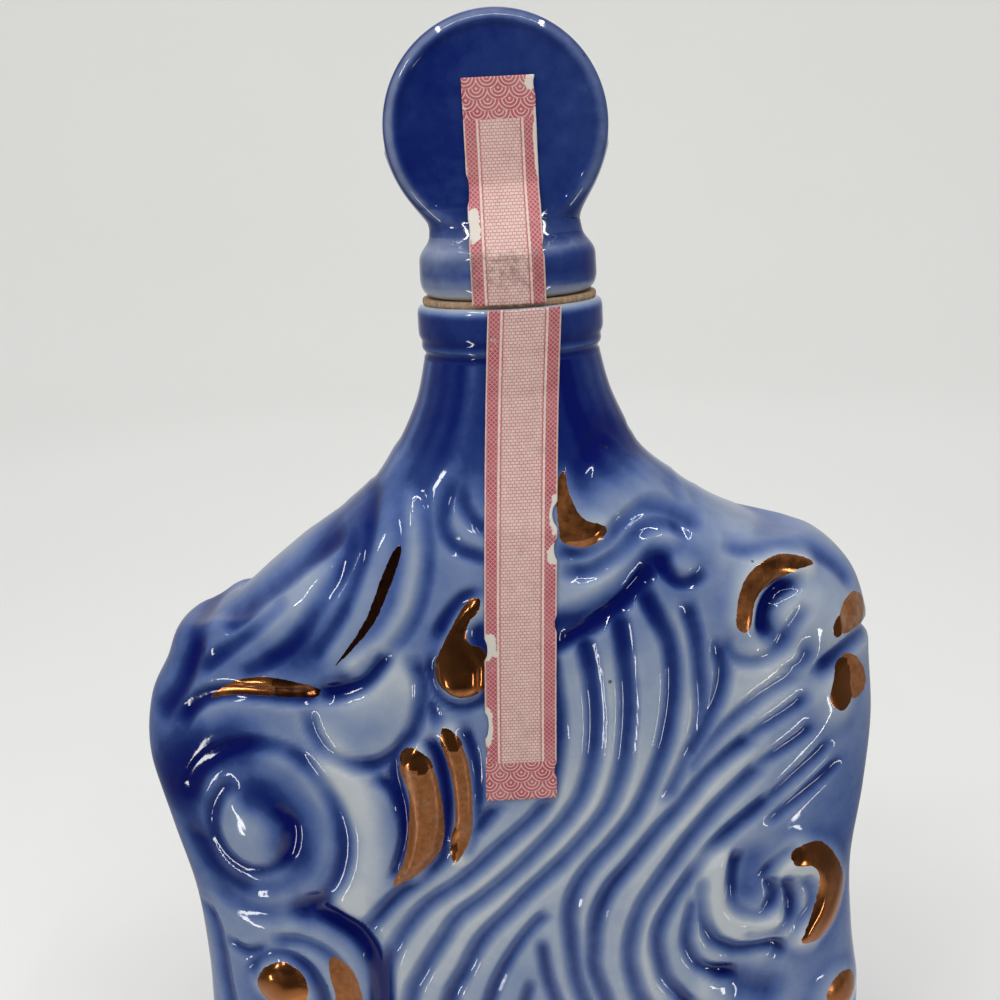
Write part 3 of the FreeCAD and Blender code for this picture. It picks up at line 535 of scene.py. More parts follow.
# %% [markdown]
# The skin of the flask is one long sheet, laid in rows from the middle of the underside, out
# over the foot, up the flask and the neck, over the rim and down inside to the hollow's floor.
# Every row is a ring with the same number of points, so the whole piece closes with no seams.
# The front, which the strokes were drawn for, has the closer columns.

# %% Rows of the flask's skin
front_columns = 300
back_columns = 160
body_rows = 262
cavity_rows = 22
bore_radius = 13.0 * mm
bore_depth = 26.0 * mm
throat_step = 0.7 * mm
foot_width_share = 0.07
foot_recess = 0.8 * mm
fine_steps = 2001
rim_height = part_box("decanter_body")[1][2]

# The turned neck above the flask: radius, and height above the flask's top
neck_profile = np.array((
    (19.55, 0.5), (19.25, 0.95), (19.2, 1.4), (19.45, 1.9), (19.8, 2.3), (19.95, 2.8), (19.95, 3.4),
    (19.9, 3.9), (20.0, 4.4), (20.25, 4.9), (20.45, 5.5), (20.5, 6.3), (20.5, 7.4), (20.5, 8.6),
    (20.5, 9.6), (20.45, 10.4), (20.3, 11.0), (20.0, 11.5), (19.5, 11.85), (18.9, 12.0), (17.4, 12.0),
    (15.8, 12.0), (14.6, 11.95), (13.9, 11.75), (13.4, 11.3), (13.05, 10.6), (13.0, 9.5),
)) * mm


def even_places(points, count):
    """Shares of the way along a line of points that divide its length evenly."""
    steps = np.linalg.norm(np.diff(points, axis=0), axis=1)
    walked = np.concatenate([[0.0], np.cumsum(steps)])
    return np.interp(np.linspace(0, walked[-1], count), walked, np.linspace(0, 1, len(points)))


def ring_angles():
    """Angles round the flask, evenly spaced over the front and, wider apart, over the back."""
    half_turn = np.linspace(0, math.pi, fine_steps)
    power = 2 / middle_squareness
    arc = np.stack([np.sign(np.cos(half_turn)) * np.abs(np.cos(half_turn)) ** power * body_half_width,
                    np.sin(half_turn).clip(0) ** power * body_half_depth], axis=-1)
    back = even_places(arc, back_columns + 1)[:-1] * math.pi
    front = math.pi + even_places(arc, front_columns + 1)[:-1] * math.pi
    return np.concatenate([back, front])


def side_levels(count):
    """Levels that space the rows evenly along the flask's sides."""
    left, left_rise, right, right_rise = flask_sizes(np.linspace(0, 1, fine_steps))[:4]
    return even_places(np.stack([left, left_rise, right, right_rise], axis=-1), count)


def ring_normals(rows):
    """Outward directions of a sheet of rings, by its neighbours along and across."""
    around = np.roll(rows, -1, axis=1) - np.roll(rows, 1, axis=1)
    upward = np.gradient(rows, axis=0)
    normal = np.cross(around, upward)
    return normal / np.linalg.norm(normal, axis=-1, keepdims=True)


angles = ring_angles()
smooth_rows = flask_points(side_levels(body_rows), angles)
across_share = smooth_rows[..., 0] / body_half_width
height_share = smooth_rows[..., 2] / body_half_width
print("skin of the flask", smooth_rows.shape[:2], "points")

# %% [markdown]
# Before the relief is pressed into the skin, two things are worked out. Under the paper strip
# nothing may stand proud, because the strip lies flat there. And the glaze ran off the ridges and
# pooled in the hollows while it was molten, so its depth follows how much lower a place lies than
# what is around it: the height less a blurred copy of itself.

# %% Relief and glaze depth
strip_width = 15.4 * mm
strip_gap = 0.3 * mm
lower_strip_length = 105.4 * mm
lower_strip_shifts = (2.8 * mm, 0.6 * mm, -3.1 * mm)
strip_margin = 2.5 * mm
relief_foot = 14.0 * mm
foot_fade_power = 0.7
under_strip_share = 0.35
raster_step_share = 0.007
raster_low = (-1.3, -0.2)
raster_high = (1.3, 2.5)
blur_shares = (0.036, 0.1)
raster_edge = 1.001


def lower_strip_middle(share):
    """Where the lower strip's middle line runs, from its top at 0 to its bottom at 1."""
    top, bend, bottom = lower_strip_shifts
    return between(top, bottom, share) - bend * 4 * share * (1 - share)


def blurred(values, spread):
    """A picture of values, softened by a round bell of the given spread in cells."""
    down = np.fft.fftfreq(values.shape[0])[:, None]
    along = np.fft.rfftfreq(values.shape[1])[None, :]
    bell = np.exp(-2 * (math.pi * spread) ** 2 * (down**2 + along**2))
    return np.fft.irfft2(np.fft.rfft2(values) * bell, values.shape)


def read_raster(raster, low, across, height):
    """Values of a raster at places between its cells."""
    x = ((across - low[0]) / raster_step_share).clip(0, raster.shape[1] - raster_edge)
    z = ((height - low[1]) / raster_step_share).clip(0, raster.shape[0] - raster_edge)
    column, row = x.astype(int), z.astype(int)
    dx, dz = x - column, z - row
    lower = between(raster[row, column], raster[row, column + 1], dx)
    upper = between(raster[row + 1, column], raster[row + 1, column + 1], dx)
    return between(lower, upper, dz)


relief = relief_at(across_share.ravel(), height_share.ravel()).reshape(across_share.shape)
tint = soft_ribbons(across_share.ravel(), height_share.ravel(), tint_shares).reshape(across_share.shape)

raster_sides = [np.arange(low, high, raster_step_share) for low, high in zip(raster_low, raster_high)]
raster_across, raster_height = np.meshgrid(*raster_sides)
raster = relief_at(raster_across.ravel(), raster_height.ravel()).reshape(raster_across.shape)
near_mean, wide_mean = (
    read_raster(blurred(raster, spread / raster_step_share), raster_low, across_share, height_share)
    for spread in blur_shares
)

strip_share = (rim_height - smooth_rows[..., 2]) / lower_strip_length
off_strip = np.abs(smooth_rows[..., 0] - lower_strip_middle(strip_share)) - strip_width / 2
beside = (off_strip / strip_margin).clip(0, 1)
below = ((strip_share - 1) * lower_strip_length / strip_margin).clip(0, 1)
clear = np.where(smooth_rows[..., 1] < 0, np.maximum(beside, below), 1.0)
clear = clear**2 * (3 - 2 * clear)
pressed = np.where(relief > 0, relief * clear, relief * between(under_strip_share, 1, clear))
pressed *= (smooth_rows[..., 2] / relief_foot).clip(0, 1) ** foot_fade_power
skin_rows = smooth_rows + ring_normals(smooth_rows) * pressed[..., None] * mm
print("relief from", round(pressed.min(), 2), "to", round(pressed.max(), 2), "mm")

# %% [markdown]
# Now the rows are joined into one mesh. One helper turns rings round the neck's axis from a list
# of radii and heights, and another joins rings into a closed sheet. Both serve the flask here, and
# the cork, the washer and the stage later.

# %% The flask's mesh
foot_scales = [0.35, 0.75] + [1 - share * foot_width_share for share in (1.3, 1.0, 0.15)]
foot_rises = (foot_recess, foot_recess, foot_recess, 0.0, 0.0)
bore_row_shares = (0.35, 0.7, 0.97)


def straight(start, end, shares):
    """Points on a straight line, at shares of the way along it."""
    return [tuple(between(low, high, share) for low, high in zip(start, end)) for share in shares]


def turned_rings(profile, turns):
    """Rings round the neck's axis at the given angles, from radii and heights."""
    ring = np.stack([np.cos(turns), np.sin(turns)], axis=-1)
    return np.stack([np.column_stack([ring * radius, np.full(len(turns), height)])
                     for radius, height in profile])


def closed_sheet(rings, start=None, end=None):
    """Points and faces of a sheet of rings, closed by a middle point at either end."""
    count = rings.shape[1]
    points = rings.reshape(-1, 3)
    column = np.arange(count)
    after = (column + 1) % count
    faces = []
    for row in range(len(rings) - 1):
        low, high = row * count, (row + 1) * count
        faces.append(np.stack([low + column, low + after, high + after, high + column], axis=-1))
    faces = np.concatenate(faces).tolist()
    for middle, row in ((start, 0), (end, len(rings) - 1)):
        if middle is not None:
            points = np.vstack([points, middle])
            tip = len(points) - 1
            pairs = zip(row * count + column, row * count + after)
            faces += [(b, a, tip) if row == 0 else (a, b, tip) for a, b in pairs]
    return points, faces


def new_piece(name, points, faces, body, node):
    """A smooth-shaded mesh that rides on a body and stands for one node."""
    mesh = bpy.data.meshes.new(name)
    mesh.from_pydata(points, [], faces)
    mesh.validate()
    mesh.shade_smooth()
    piece = bpy.data.objects.new(name, mesh)
    bpy.context.collection.objects.link(piece)
    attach(piece, body)
    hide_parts(node)
    return piece


foot = smooth_rows[0]
foot_middle = np.array([foot[:, 0].mean(), 0.0, 0.0])
foot_rings = np.stack([foot_middle + (foot - foot_middle) * (scale, scale, 1) + (0, 0, rise)
                       for scale, rise in zip(foot_scales, foot_rises)])
neck_rings = turned_rings(neck_profile + (0, body_height), angles)
bore_start = neck_rings[-1, 0, 2]
bore_end = rim_height - bore_depth
bore_line = straight((bore_radius, bore_start), (bore_radius, bore_end), bore_row_shares)
bore_rings = turned_rings(bore_line, angles)
cavity = flask_points(side_levels(cavity_rows), angles, body_wall, bore_radius + throat_step)[::-1]
cavity[..., 2] = between(floor_thickness, bore_end, cavity[..., 2] / body_height)
cavity_middle = np.array([0.0, 0.0, floor_thickness])
rings = np.concatenate([foot_rings, skin_rows, neck_rings, bore_rings, cavity])
points, faces = closed_sheet(rings, foot_middle + (0, 0, foot_recess), cavity_middle)
flask = new_piece("glazed_flask", points, faces, "bottle", "decanter_body")
print("flask", len(points), "points,", len(faces), "faces")

# %% [markdown]
# Four values are kept at every point of the flask, for its material to read: the depth of the
# glaze, the distance inside the gilt, how far the gilt is rubbed, and where the clay is bare. The
# glaze is thin on ridges and deep in hollows. On the neck it is deep all over and hangs in drips.

# %% Glaze depth at the flask's points
# Depth on level ground, and how much ridges, broad swells and tints change it
level_pool = 0.475
ridge_pool = 0.36
broad_pool = 0.10
tint_pool = 0.7
# The same on the neck, and where the neck begins, in shares of the flask's height
neck_pool = 0.84
neck_ridge_pool = 0.06
neck_tint_pool = 0.3
neck_start_share = 0.78
neck_blend_share = 0.16
neck_blend_power = 1.3
# How many drips go round the neck, and how much they change the depth
drip_shares = ((2, 0.05), (5, 0.07), (9, 0.06), (16, 0.05), (27, 0.04))
# Heights on the turned neck in millimetres, and the depth at each
band_heights = (0, 1.2, 2.8, 4, 6, 10, 11.4, 12)
band_pools = (0.8, 0.96, 0.66, 0.9, 0.86, 0.83, 0.3, 0.1)
rim_inside_radius = 17 * mm
rim_inside_pool = 0.2
hidden_pool = 0.3
far_from_gilt = -5.0
bare_clay = 1.0


def keep_value(piece, name, values):
    """Keeps one number for each point of a piece, for its material to read."""
    attribute = piece.data.attributes.new(name, "FLOAT", "POINT")
    attribute.data.foreach_set("value", np.asarray(values, np.float32))


def along_rings(skin_values, neck_values, hidden_value):
    """One value for every point of the flask's sheet; foot, bore and hollow share one."""
    count = len(angles)
    parts = [
        np.full(len(foot_rings) * count, hidden_value),
        skin_values.ravel(),
        np.repeat(neck_values, count),
        np.full((len(bore_rings) + len(cavity)) * count, hidden_value),
        [hidden_value, hidden_value],
    ]
    return np.concatenate(parts)


ridge_near = relief - near_mean
ridge_wide = near_mean - wide_mean
drips = sum(share * np.cos(count * angles + count) for count, share in drip_shares)
towards_neck = ((smooth_rows[..., 2] / body_height - neck_start_share) / neck_blend_share).clip(0, 1)
on_flask = level_pool - ridge_pool * ridge_near - broad_pool * ridge_wide + tint_pool * tint
on_neck = neck_pool + drips - neck_ridge_pool * ridge_near + neck_tint_pool * tint
pool = between(on_flask, on_neck, towards_neck**neck_blend_power)
neck_pools = np.interp(neck_profile[:, 1] / mm, band_heights, band_pools)
neck_pools[neck_profile[:, 0] < rim_inside_radius] = rim_inside_pool
gilt, gilt_wear = (values.reshape(across_share.shape)
                   for values in gilt_at(across_share.ravel(), height_share.ravel()))
no_value = np.zeros(len(neck_profile))
keep_value(flask, "pool", along_rings(pool, neck_pools, hidden_pool))
keep_value(flask, "gilt", along_rings(gilt, no_value + far_from_gilt, far_from_gilt))
keep_value(flask, "gilt_wear", along_rings(gilt_wear, no_value, 0.0))
keep_value(flask, "bare", along_rings(np.zeros(relief.shape), no_value, bare_clay))
print("glaze depth from", round(pool.min(), 2), "to", round(pool.max(), 2))

# %% [markdown]
# Materials are built from nodes. The helpers below add one node, set its options and fill each of
# its sockets with a value or a link, so that a material reads as a list of what it is made of.

# %% Helpers for nodes


def fill(tree, node, sockets):
    """Sets a node's sockets to values, or links them to other nodes' outputs."""
    for name, value in sockets.items():
        if isinstance(value, bpy.types.NodeSocket):
            tree.links.new(value, node.inputs[name])
        else:
            node.inputs[name].default_value = value


def add_node(tree, kind, options=None, sockets=None):
    """A node with its options set and its sockets filled."""
    made = tree.nodes.new("ShaderNode" + kind)
    for name, value in (options or {}).items():
        setattr(made, name, value)
    fill(tree, made, sockets or {})
    return made


def maths(tree, operation, first, second=0.0, third=0.0, clamp=False):
    """The result of one sum on values or outputs."""
    sockets = {0: first, 1: second, 2: third}
    return add_node(tree, "Math", {"operation": operation, "use_clamp": clamp}, sockets).outputs[0]


def smooth_step(tree, value, low, high):
    """0 below low, 1 above high and a smooth change between them."""
    sockets = {"Value": value, "From Min": low, "From Max": high}
    return add_node(tree, "MapRange", {"interpolation_type": "SMOOTHSTEP"}, sockets).outputs["Result"]


def mixed(tree, share, first, second):
    """A colour between two colours."""
    made = add_node(tree, "Mix", {"data_type": "RGBA"}, {0: share, 6: first, 7: second})
    return made.outputs[2]


def blended(tree, share, first, second):
    """A number between two numbers."""
    return add_node(tree, "Mix", {"data_type": "FLOAT"}, {0: share, 2: first, 3: second}).outputs[0]


def noise(tree, place, scale, detail=2.0, roughness=0.5):
    """Soft cloudy values from 0 to 1 at a place."""
    sockets = {"Vector": place, "Scale": scale, "Detail": detail, "Roughness": roughness}
    return add_node(tree, "TexNoise", None, sockets).outputs["Fac"]


def ramp(tree, value, stops):
    """A colour picked from a row of stops by a value."""
    made = add_node(tree, "ValToRGB", None, {"Fac": value})
    elements = made.color_ramp.elements
    while len(elements) < len(stops):
        elements.new(0.5)
    for element, (place, colour) in zip(elements, stops):
        element.position = place
        element.color = (*colour, 1.0)
    return made.outputs["Color"]


def stored(tree, name):
    """A number that the mesh keeps at its points."""
    return add_node(tree, "Attribute", {"attribute_name": name}).outputs["Fac"]


def object_place(tree):
    """Where a point lies in its own object."""
    return add_node(tree, "TexCoord").outputs["Object"]


def bumps(tree, height, strength, depth):
    """The surface's direction, bent by a height."""
    sockets = {"Strength": strength, "Distance": depth, "Height": height}
    return add_node(tree, "Bump", None, sockets).outputs["Normal"]


def new_group(name, inputs, outputs):
    """An empty shader group with named values in, and named values or colours out."""
    tree = bpy.data.node_groups.new(name, "ShaderNodeTree")
    for label, value in inputs.items():
        socket = tree.interface.new_socket(label, in_out="INPUT", socket_type="NodeSocketFloat")
        socket.default_value = value
    for label, kind in outputs.items():
        tree.interface.new_socket(label, in_out="OUTPUT", socket_type="NodeSocket" + kind)
    return tree, tree.nodes.new("NodeGroupInput").outputs, tree.nodes.new("NodeGroupOutput")


def use_group(tree, group, values):
    """A shared effect placed in a material with its own values."""
    return add_node(tree, "Group", {"node_tree": group}, values).outputs


def new_material(name, piece):
    """An empty node material on a piece, with its shader linked to the output."""
    material = bpy.data.materials.new(name)
    material.use_nodes = True
    tree = material.node_tree
    piece.data.materials.clear()
    piece.data.materials.append(material)
    return tree, tree.nodes["Principled BSDF"]


print("helpers for nodes ready")

# %% [markdown]
# The glaze is shared by the flask and the stopper, so it is a group. Two values go in: how deep
# the glaze is and how cloudy. Thin glaze lets the pale clay through and deep glaze is cobalt. Slow
# clouds and fine streaks shift the depth, as a brushed and dipped glaze does, a few dark specks sit
# in it, and a faint ripple keeps its gloss from looking like plastic.

# %% Cobalt glaze
glaze_stops = (
    (0.00, (0.46, 0.49, 0.52)),
    (0.18, (0.30, 0.35, 0.44)),
    (0.34, (0.195, 0.250, 0.385)),
    (0.48, (0.120, 0.172, 0.335)),
    (0.60, (0.062, 0.107, 0.280)),
    (0.74, (0.019, 0.041, 0.162)),
    (0.88, (0.0055, 0.016, 0.120)),
    (1.00, (0.0015, 0.005, 0.095)),
)
speck_colour = (0.03, 0.025, 0.02, 1)
cloud_share = 0.65

cobalt_glaze, given, group_output = new_group(
    "cobalt_glaze",
    {"Depth": 0.5, "Cloud": 0.2},
    {"Color": "Color", "Ripple": "Float", "Roughness": "Float"},
)
tree = cobalt_glaze
place = object_place(tree)
clouds = noise(tree, place, 42.0, 3.0, 0.55)
streaks = noise(tree, place, 230.0, 4.0, 0.65)
shift = maths(tree, "MULTIPLY_ADD", clouds, cloud_share, maths(tree, "MULTIPLY", streaks, cloud_share))
shift = maths(tree, "MULTIPLY", maths(tree, "SUBTRACT", shift, cloud_share), given["Cloud"])
depth = maths(tree, "ADD", given["Depth"], shift, clamp=True)
specks = add_node(tree, "TexVoronoi", None, {"Vector": place, "Scale": 210.0})
lone = maths(tree, "GREATER_THAN", noise(tree, place, 95.0, 0.0), 0.71)
speck = maths(tree, "MULTIPLY", maths(tree, "LESS_THAN", specks.outputs["Distance"], 0.09), lone)
speck_share = maths(tree, "MULTIPLY", speck, 0.75)
broad_ripple = noise(tree, place, 150.0, 2.0)
fine_ripple = maths(tree, "MULTIPLY", noise(tree, place, 620.0, 1.0), 0.2)
fill(tree, group_output, {
    "Color": mixed(tree, speck_share, ramp(tree, depth, glaze_stops), speck_colour),
    "Ripple": maths(tree, "MULTIPLY_ADD", broad_ripple, 0.8, fine_ripple),
    "Roughness": maths(tree, "MULTIPLY_ADD", noise(tree, place, 260.0, 3.0), 0.07, 0.035),
})
print("shared glaze of", len(tree.nodes), "nodes")

# %% [markdown]
# The flask's material lays the gilt over the glaze. Gilt here is a thin copper-gold lustre: it
# is metal, so it takes its colour from what it reflects. Where its wear is below zero its colour
# is painted dark, a painted reflection of dark surroundings, and where it is rubbed thin a brown
# bloom shows. Inside the bore and under the foot the clay is bare.

# %% Glaze and gilt of the flask
glaze_index = 1.52
clay_colours = ((0.62, 0.58, 0.50, 1), (0.72, 0.69, 0.62, 1))
clay_roughness = 0.75
copper_gilt = (0.52, 0.190, 0.060, 1)
# painted reflection: a dark gilt colour that stands in for the dark surroundings the metal mirrors
painted_dark_gilt = (0.15, 0.050, 0.020, 1)
brown_gilt = ((0.25, 0.085, 0.022, 1), (0.36, 0.135, 0.04, 1))
tan_gilt = (0.40, 0.25, 0.14, 1)
# Ranges over which the gilt begins, turns to its painted dark, is rubbed brown, and is rubbed tan
gilt_edge = (0.20, 0.30)
painted_dark_wear = (0.25, 0.0)
brown_wear = (0.62, 1.15)
tan_wear = (1.34, 1.56)


def over_clay(tree, colour, roughness):
    """What a glazed shader takes, with bare clay wherever the points are marked as bare."""
    bare = stored(tree, "bare")
    clay = mixed(tree, noise(tree, object_place(tree), 700.0, 3.0), *clay_colours)
    return {
        "Base Color": mixed(tree, bare, colour, clay),
        "Roughness": blended(tree, bare, roughness, clay_roughness),
        "IOR": glaze_index,
    }


tree, shader = new_material("cobalt_glaze_with_gilt", flask)
place = object_place(tree)
glaze = use_group(tree, cobalt_glaze, {"Depth": stored(tree, "pool"), "Cloud": 0.26})
ragged = maths(tree, "MULTIPLY_ADD", noise(tree, place, 900.0, 2.0), 0.5, stored(tree, "gilt"))
gilded = smooth_step(tree, ragged, *gilt_edge)
worn_by = noise(tree, place, 170.0, 4.0, 0.6)
wear = maths(tree, "MULTIPLY_ADD", worn_by, 0.9, stored(tree, "gilt_wear"))
rubbed = smooth_step(tree, wear, *brown_wear)
scratch = smooth_step(tree, noise(tree, place, 700.0, 4.0, 0.7), 0.35, 0.65)
bloom = mixed(tree, smooth_step(tree, wear, *tan_wear), mixed(tree, scratch, *brown_gilt), tan_gilt)
# the painted dark reflection takes over where the wear is below zero
copper = mixed(tree, smooth_step(tree, wear, *painted_dark_wear), copper_gilt, painted_dark_gilt)
lustre = mixed(tree, rubbed, copper, bloom)
metal = maths(tree, "MULTIPLY_ADD", rubbed, -0.66, 0.97)
gilt_roughness = maths(tree, "MULTIPLY_ADD", rubbed, 0.18, 0.17)
skin_colour = mixed(tree, gilded, glaze["Color"], lustre)
skin_roughness = blended(tree, gilded, glaze["Roughness"], gilt_roughness)
surface = maths(tree, "MULTIPLY_ADD", gilded, 0.25, glaze["Ripple"])
fill(tree, shader, over_clay(tree, skin_colour, skin_roughness))
fill(tree, shader, {
    "Metallic": maths(tree, "MULTIPLY", gilded, metal),
    "Normal": bumps(tree, surface, 0.25, 0.35 * mm),
})
print("glaze and gilt of", len(tree.nodes), "nodes")

# %% [markdown]
# The stopper is a collar, a waisted pedestal and a disc in one casting, all run together by the
# glaze. Such melted joints are easy to describe as distances: each form gives its distance to any
# point, and a soft minimum joins them with a fillet.

# %% Form of the stopper
washer_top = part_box("seal_washer")[1][2]
head_low, head_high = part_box("stopper_head")
collar_radius = 19.3 * mm
collar_height = 11.0 * mm
collar_edge = 3.2 * mm
disc_radius = (head_high[0] - head_low[0]) / 2
disc_centre = head_high[2] - disc_radius
disc_lean = (head_low[0] + head_high[0]) / 2
disc_thickness = 13.0 * mm
disc_edge = 3.0 * mm
dish_depth = 0.9 * mm
dish_rim = 2.4 * mm
dish_slope = 1.6 * mm
pedestal_half_width = 16.4 * mm
peg_radius = 7.0 * mm
peg_edge = 0.8 * mm
peg_end = head_low[2]
peg_top = washer_top + collar_edge
peg_middle = (peg_top + peg_end) / 2
collar_top = washer_top + collar_height
collar_middle = washer_top + collar_height / 2
waist_fillet = 2.4 * mm
disc_fillet = 2.6 * mm
# Height between the collar's top and the disc's centre, then half width and half depth
pedestal_shares = np.array((
    (-0.25, 1.10, 1.06), (0.0, 1.04, 0.86), (0.20, 1.00, 0.56), (0.48, 1.13, 0.36), (0.80, 1.2, 0.20),
))


def rounded_drum(radial, axial, radius, half_length, edge):
    """Distance to a drum with rounded edges, by distance from its axis and along it."""
    out = np.maximum(radial - radius + edge, 0.0)
    up = np.maximum(np.abs(axial) - half_length + edge, 0.0)
    inside = np.minimum(np.maximum(radial - radius + edge, np.abs(axial) - half_length + edge), 0.0)
    return np.hypot(out, up) + inside - edge


def soft_union(first, second, blend):
    """The smaller of two distances, with a fillet of about the blend where they meet."""
    share = np.clip(0.5 + 0.5 * (second - first) / blend, 0, 1)
    return between(second, first, share) - blend * share * (1 - share)


def stopper_distance(points):
    """Distance of points to the stopper's surface, below zero inside."""
    x, y, z = points.T
    around = np.hypot(x, y)
    collar = rounded_drum(around, z - collar_middle, collar_radius, collar_height / 2, collar_edge)
    from_centre = np.hypot(x - disc_lean, z - disc_centre)
    sunk = np.clip((disc_radius - dish_rim - from_centre) / dish_slope, 0, 1)
    dished = dish_depth * sunk**2 * (3 - 2 * sunk)
    disc = rounded_drum(from_centre, np.abs(y) + dished, disc_radius, disc_thickness / 2, disc_edge)
    share = (z - collar_top) / (disc_centre - collar_top)
    half_width, half_depth = (np.interp(share, pedestal_shares[:, 0], shares) * pedestal_half_width
                              for shares in pedestal_shares[:, 1:].T)
    leaning = x - disc_lean * np.clip(share, 0, 1)
    waist = (np.hypot(leaning / half_width, y / half_depth) - 1) * np.minimum(half_width, half_depth)
    low, high = (between(collar_top, disc_centre, end) for end in pedestal_shares[[0, -1], 0])
    waist = np.maximum(waist, np.maximum(low - z, z - high))
    peg = rounded_drum(around, z - peg_middle, peg_radius, peg_top - peg_middle, peg_edge)
    head = soft_union(soft_union(collar, waist, waist_fillet), disc, disc_fillet)
    return np.minimum(head, peg)


middle_points = np.array(((0, 0, collar_middle), (disc_lean, 0, disc_centre)))
print("depth inside collar and disc", np.round(-stopper_distance(middle_points) / mm, 1), "mm")

# %% [markdown]
# A voxel remesh of four rough drums gives an even net of faces. Every point of the net then slides
# onto the surface where the distance is zero.

# %% Mesh of the stopper
stopper_voxel = 0.55 * mm
drum_sides = 64
core_share = 0.55
slide_nudge = 0.02 * mm
slide_rounds = 6
least_slope = 0.05


def drum_mesh(radius, length, middle, turn=(0, 0, 0)):
    """A rough drum for the remesh."""
    bpy.ops.mesh.primitive_cylinder_add(
        vertices=drum_sides, radius=radius, depth=length, location=middle, rotation=turn)
    return bpy.context.object


def slide_onto(points, distance):
    """Points moved along the slope of a distance until they lie where it is zero."""
    for step in range(slide_rounds):
        value = distance(points)
        nudged = [distance(points + axis * slide_nudge) - value for axis in np.eye(3)]
        slope = np.stack(nudged, axis=-1) / slide_nudge
        points = points - slope * (value / np.maximum((slope**2).sum(axis=-1), least_slope))[:, None]
    return points


core_middle = (disc_centre + collar_top) / 2
drums = [
    drum_mesh(collar_radius, collar_height, (0, 0, collar_middle)),
    drum_mesh(disc_radius, disc_thickness, (disc_lean, 0, disc_centre), (math.pi / 2, 0, 0)),
    drum_mesh(peg_radius, peg_top - peg_end, (0, 0, peg_middle)),
    drum_mesh(pedestal_half_width * core_share, disc_centre - collar_top, (0, 0, core_middle)),
]
for drum in drums:
    drum.select_set(True)
bpy.context.view_layer.objects.active = drums[0]
bpy.ops.object.join()
rough = bpy.context.object
remesh = rough.modifiers.new("remesh", "REMESH")
remesh.mode = "VOXEL"
remesh.voxel_size = stopper_voxel
bpy.ops.object.transform_apply(location=True, rotation=True, scale=True)
bpy.ops.object.modifier_apply(modifier=remesh.name)
rough_points = np.empty(len(rough.data.vertices) * 3)
rough.data.vertices.foreach_get("co", rough_points)
rough_faces = [tuple(face.vertices) for face in rough.data.polygons]
bpy.data.objects.remove(rough)
points = slide_onto(rough_points.reshape(-1, 3), stopper_distance)
stopper = new_piece("glazed_stopper", points, rough_faces, "stopper", "stopper_head")
furthest = np.abs(stopper_distance(points)).max() / mm
print("stopper", len(points), "points, at most", round(furthest, 3), "mm off its form")

# %% [markdown]
# On the stopper the glaze has drawn back from every edge: the disc's rim, the collar's shoulder
# and its lower edge are pale. Its depth is worked out from where a point lies on the form, and
# painted light and shade lie on top: the rim is paler on the left, the collar darker on the right.

# %% Glaze of the stopper
rim_inset = 1.3 * mm
rim_half_width = 1.6 * mm
rim_full_share = 1.2
# the slope is painted light: it makes the rim paler on the left than on the right
rim_pale, rim_painted_light_slope = 0.62, 0.38
rim_pool_loss = 0.34
rim_front_start, rim_front_blend = 3.0 * mm, 2.6 * mm
waist_start, waist_blend = 4.0 * mm, 6.0 * mm
disc_pool, disc_pool_slope = 0.83, 0.07
disc_start = collar_top + 8 * mm
# Shares of the collar's height, and the depth of the glaze at each
collar_levels = (0.0, 0.1, 0.26, 0.5, 0.75, 0.95, 1.15, 1.6, 2.2)
collar_pools = (0.05, 0.27, 0.66, 0.79, 0.72, 0.57, 0.70, 0.78, 0.82)
# painted shade: the collar's glaze is made deeper and darker towards the right
collar_painted_shade_slope = 0.11
collar_end = collar_top + 2 * mm
under_collar = washer_top + 0.05 * mm
under_pool = 0.1
peg_start = washer_top - 0.2 * mm
pale_glaze = (0.78, 0.56)

x, y, z = points.T
from_centre = np.hypot(x - disc_lean, z - disc_centre)
to_right = np.clip((x - disc_lean) / disc_radius, -1, 1)
off_rim = np.abs(from_centre - (disc_radius - rim_inset)) / rim_half_width
# painted light: the rim's paleness grows towards the left
on_rim = np.clip(rim_full_share - off_rim, 0, 1) * (rim_pale - rim_painted_light_slope * to_right)
rim_front = np.clip((np.abs(y) - rim_front_start) / rim_front_blend, 0, 1)
above_waist = np.clip((z - collar_top - waist_start) / waist_blend, 0, 1)
collar_depth = np.interp((z - washer_top) / collar_height, collar_levels, collar_pools)
depth = np.where(z > disc_start, disc_pool - disc_pool_slope * to_right, collar_depth)
# painted shade: the collar turns darker towards the right
depth = depth + np.where(z < collar_end, collar_painted_shade_slope * np.clip(x / collar_radius, -1, 1), 0.0)
depth = depth - rim_pool_loss * on_rim * rim_front * above_waist
depth = np.where(z < under_collar, under_pool, depth)
# the depth kept here carries that painted light and shade as well
keep_value(stopper, "pool", depth)
keep_value(stopper, "bare", (z < peg_start).astype(float))

tree, shader = new_material("cobalt_glaze_on_stopper", stopper)
glaze = use_group(tree, cobalt_glaze, {"Depth": stored(tree, "pool"), "Cloud": 0.38})
pale = smooth_step(tree, stored(tree, "pool"), *pale_glaze)
dusty_sockets = {"Saturation": 0.68, "Fac": pale, "Color": glaze["Color"]}
dusty = add_node(tree, "HueSaturation", None, dusty_sockets).outputs["Color"]
fill(tree, shader, over_clay(tree, dusty, glaze["Roughness"]))
fill(tree, shader, {"Normal": bumps(tree, glaze["Ripple"], 0.2, 0.3 * mm)})
print("glaze of the stopper of", len(tree.nodes), "nodes")

# %% [markdown]
# The cork is a sleeve on the stopper's peg. It is turned from a closed profile and then pitted:
# a noise pushes small hollows into its side, because agglomerated cork is never smooth.

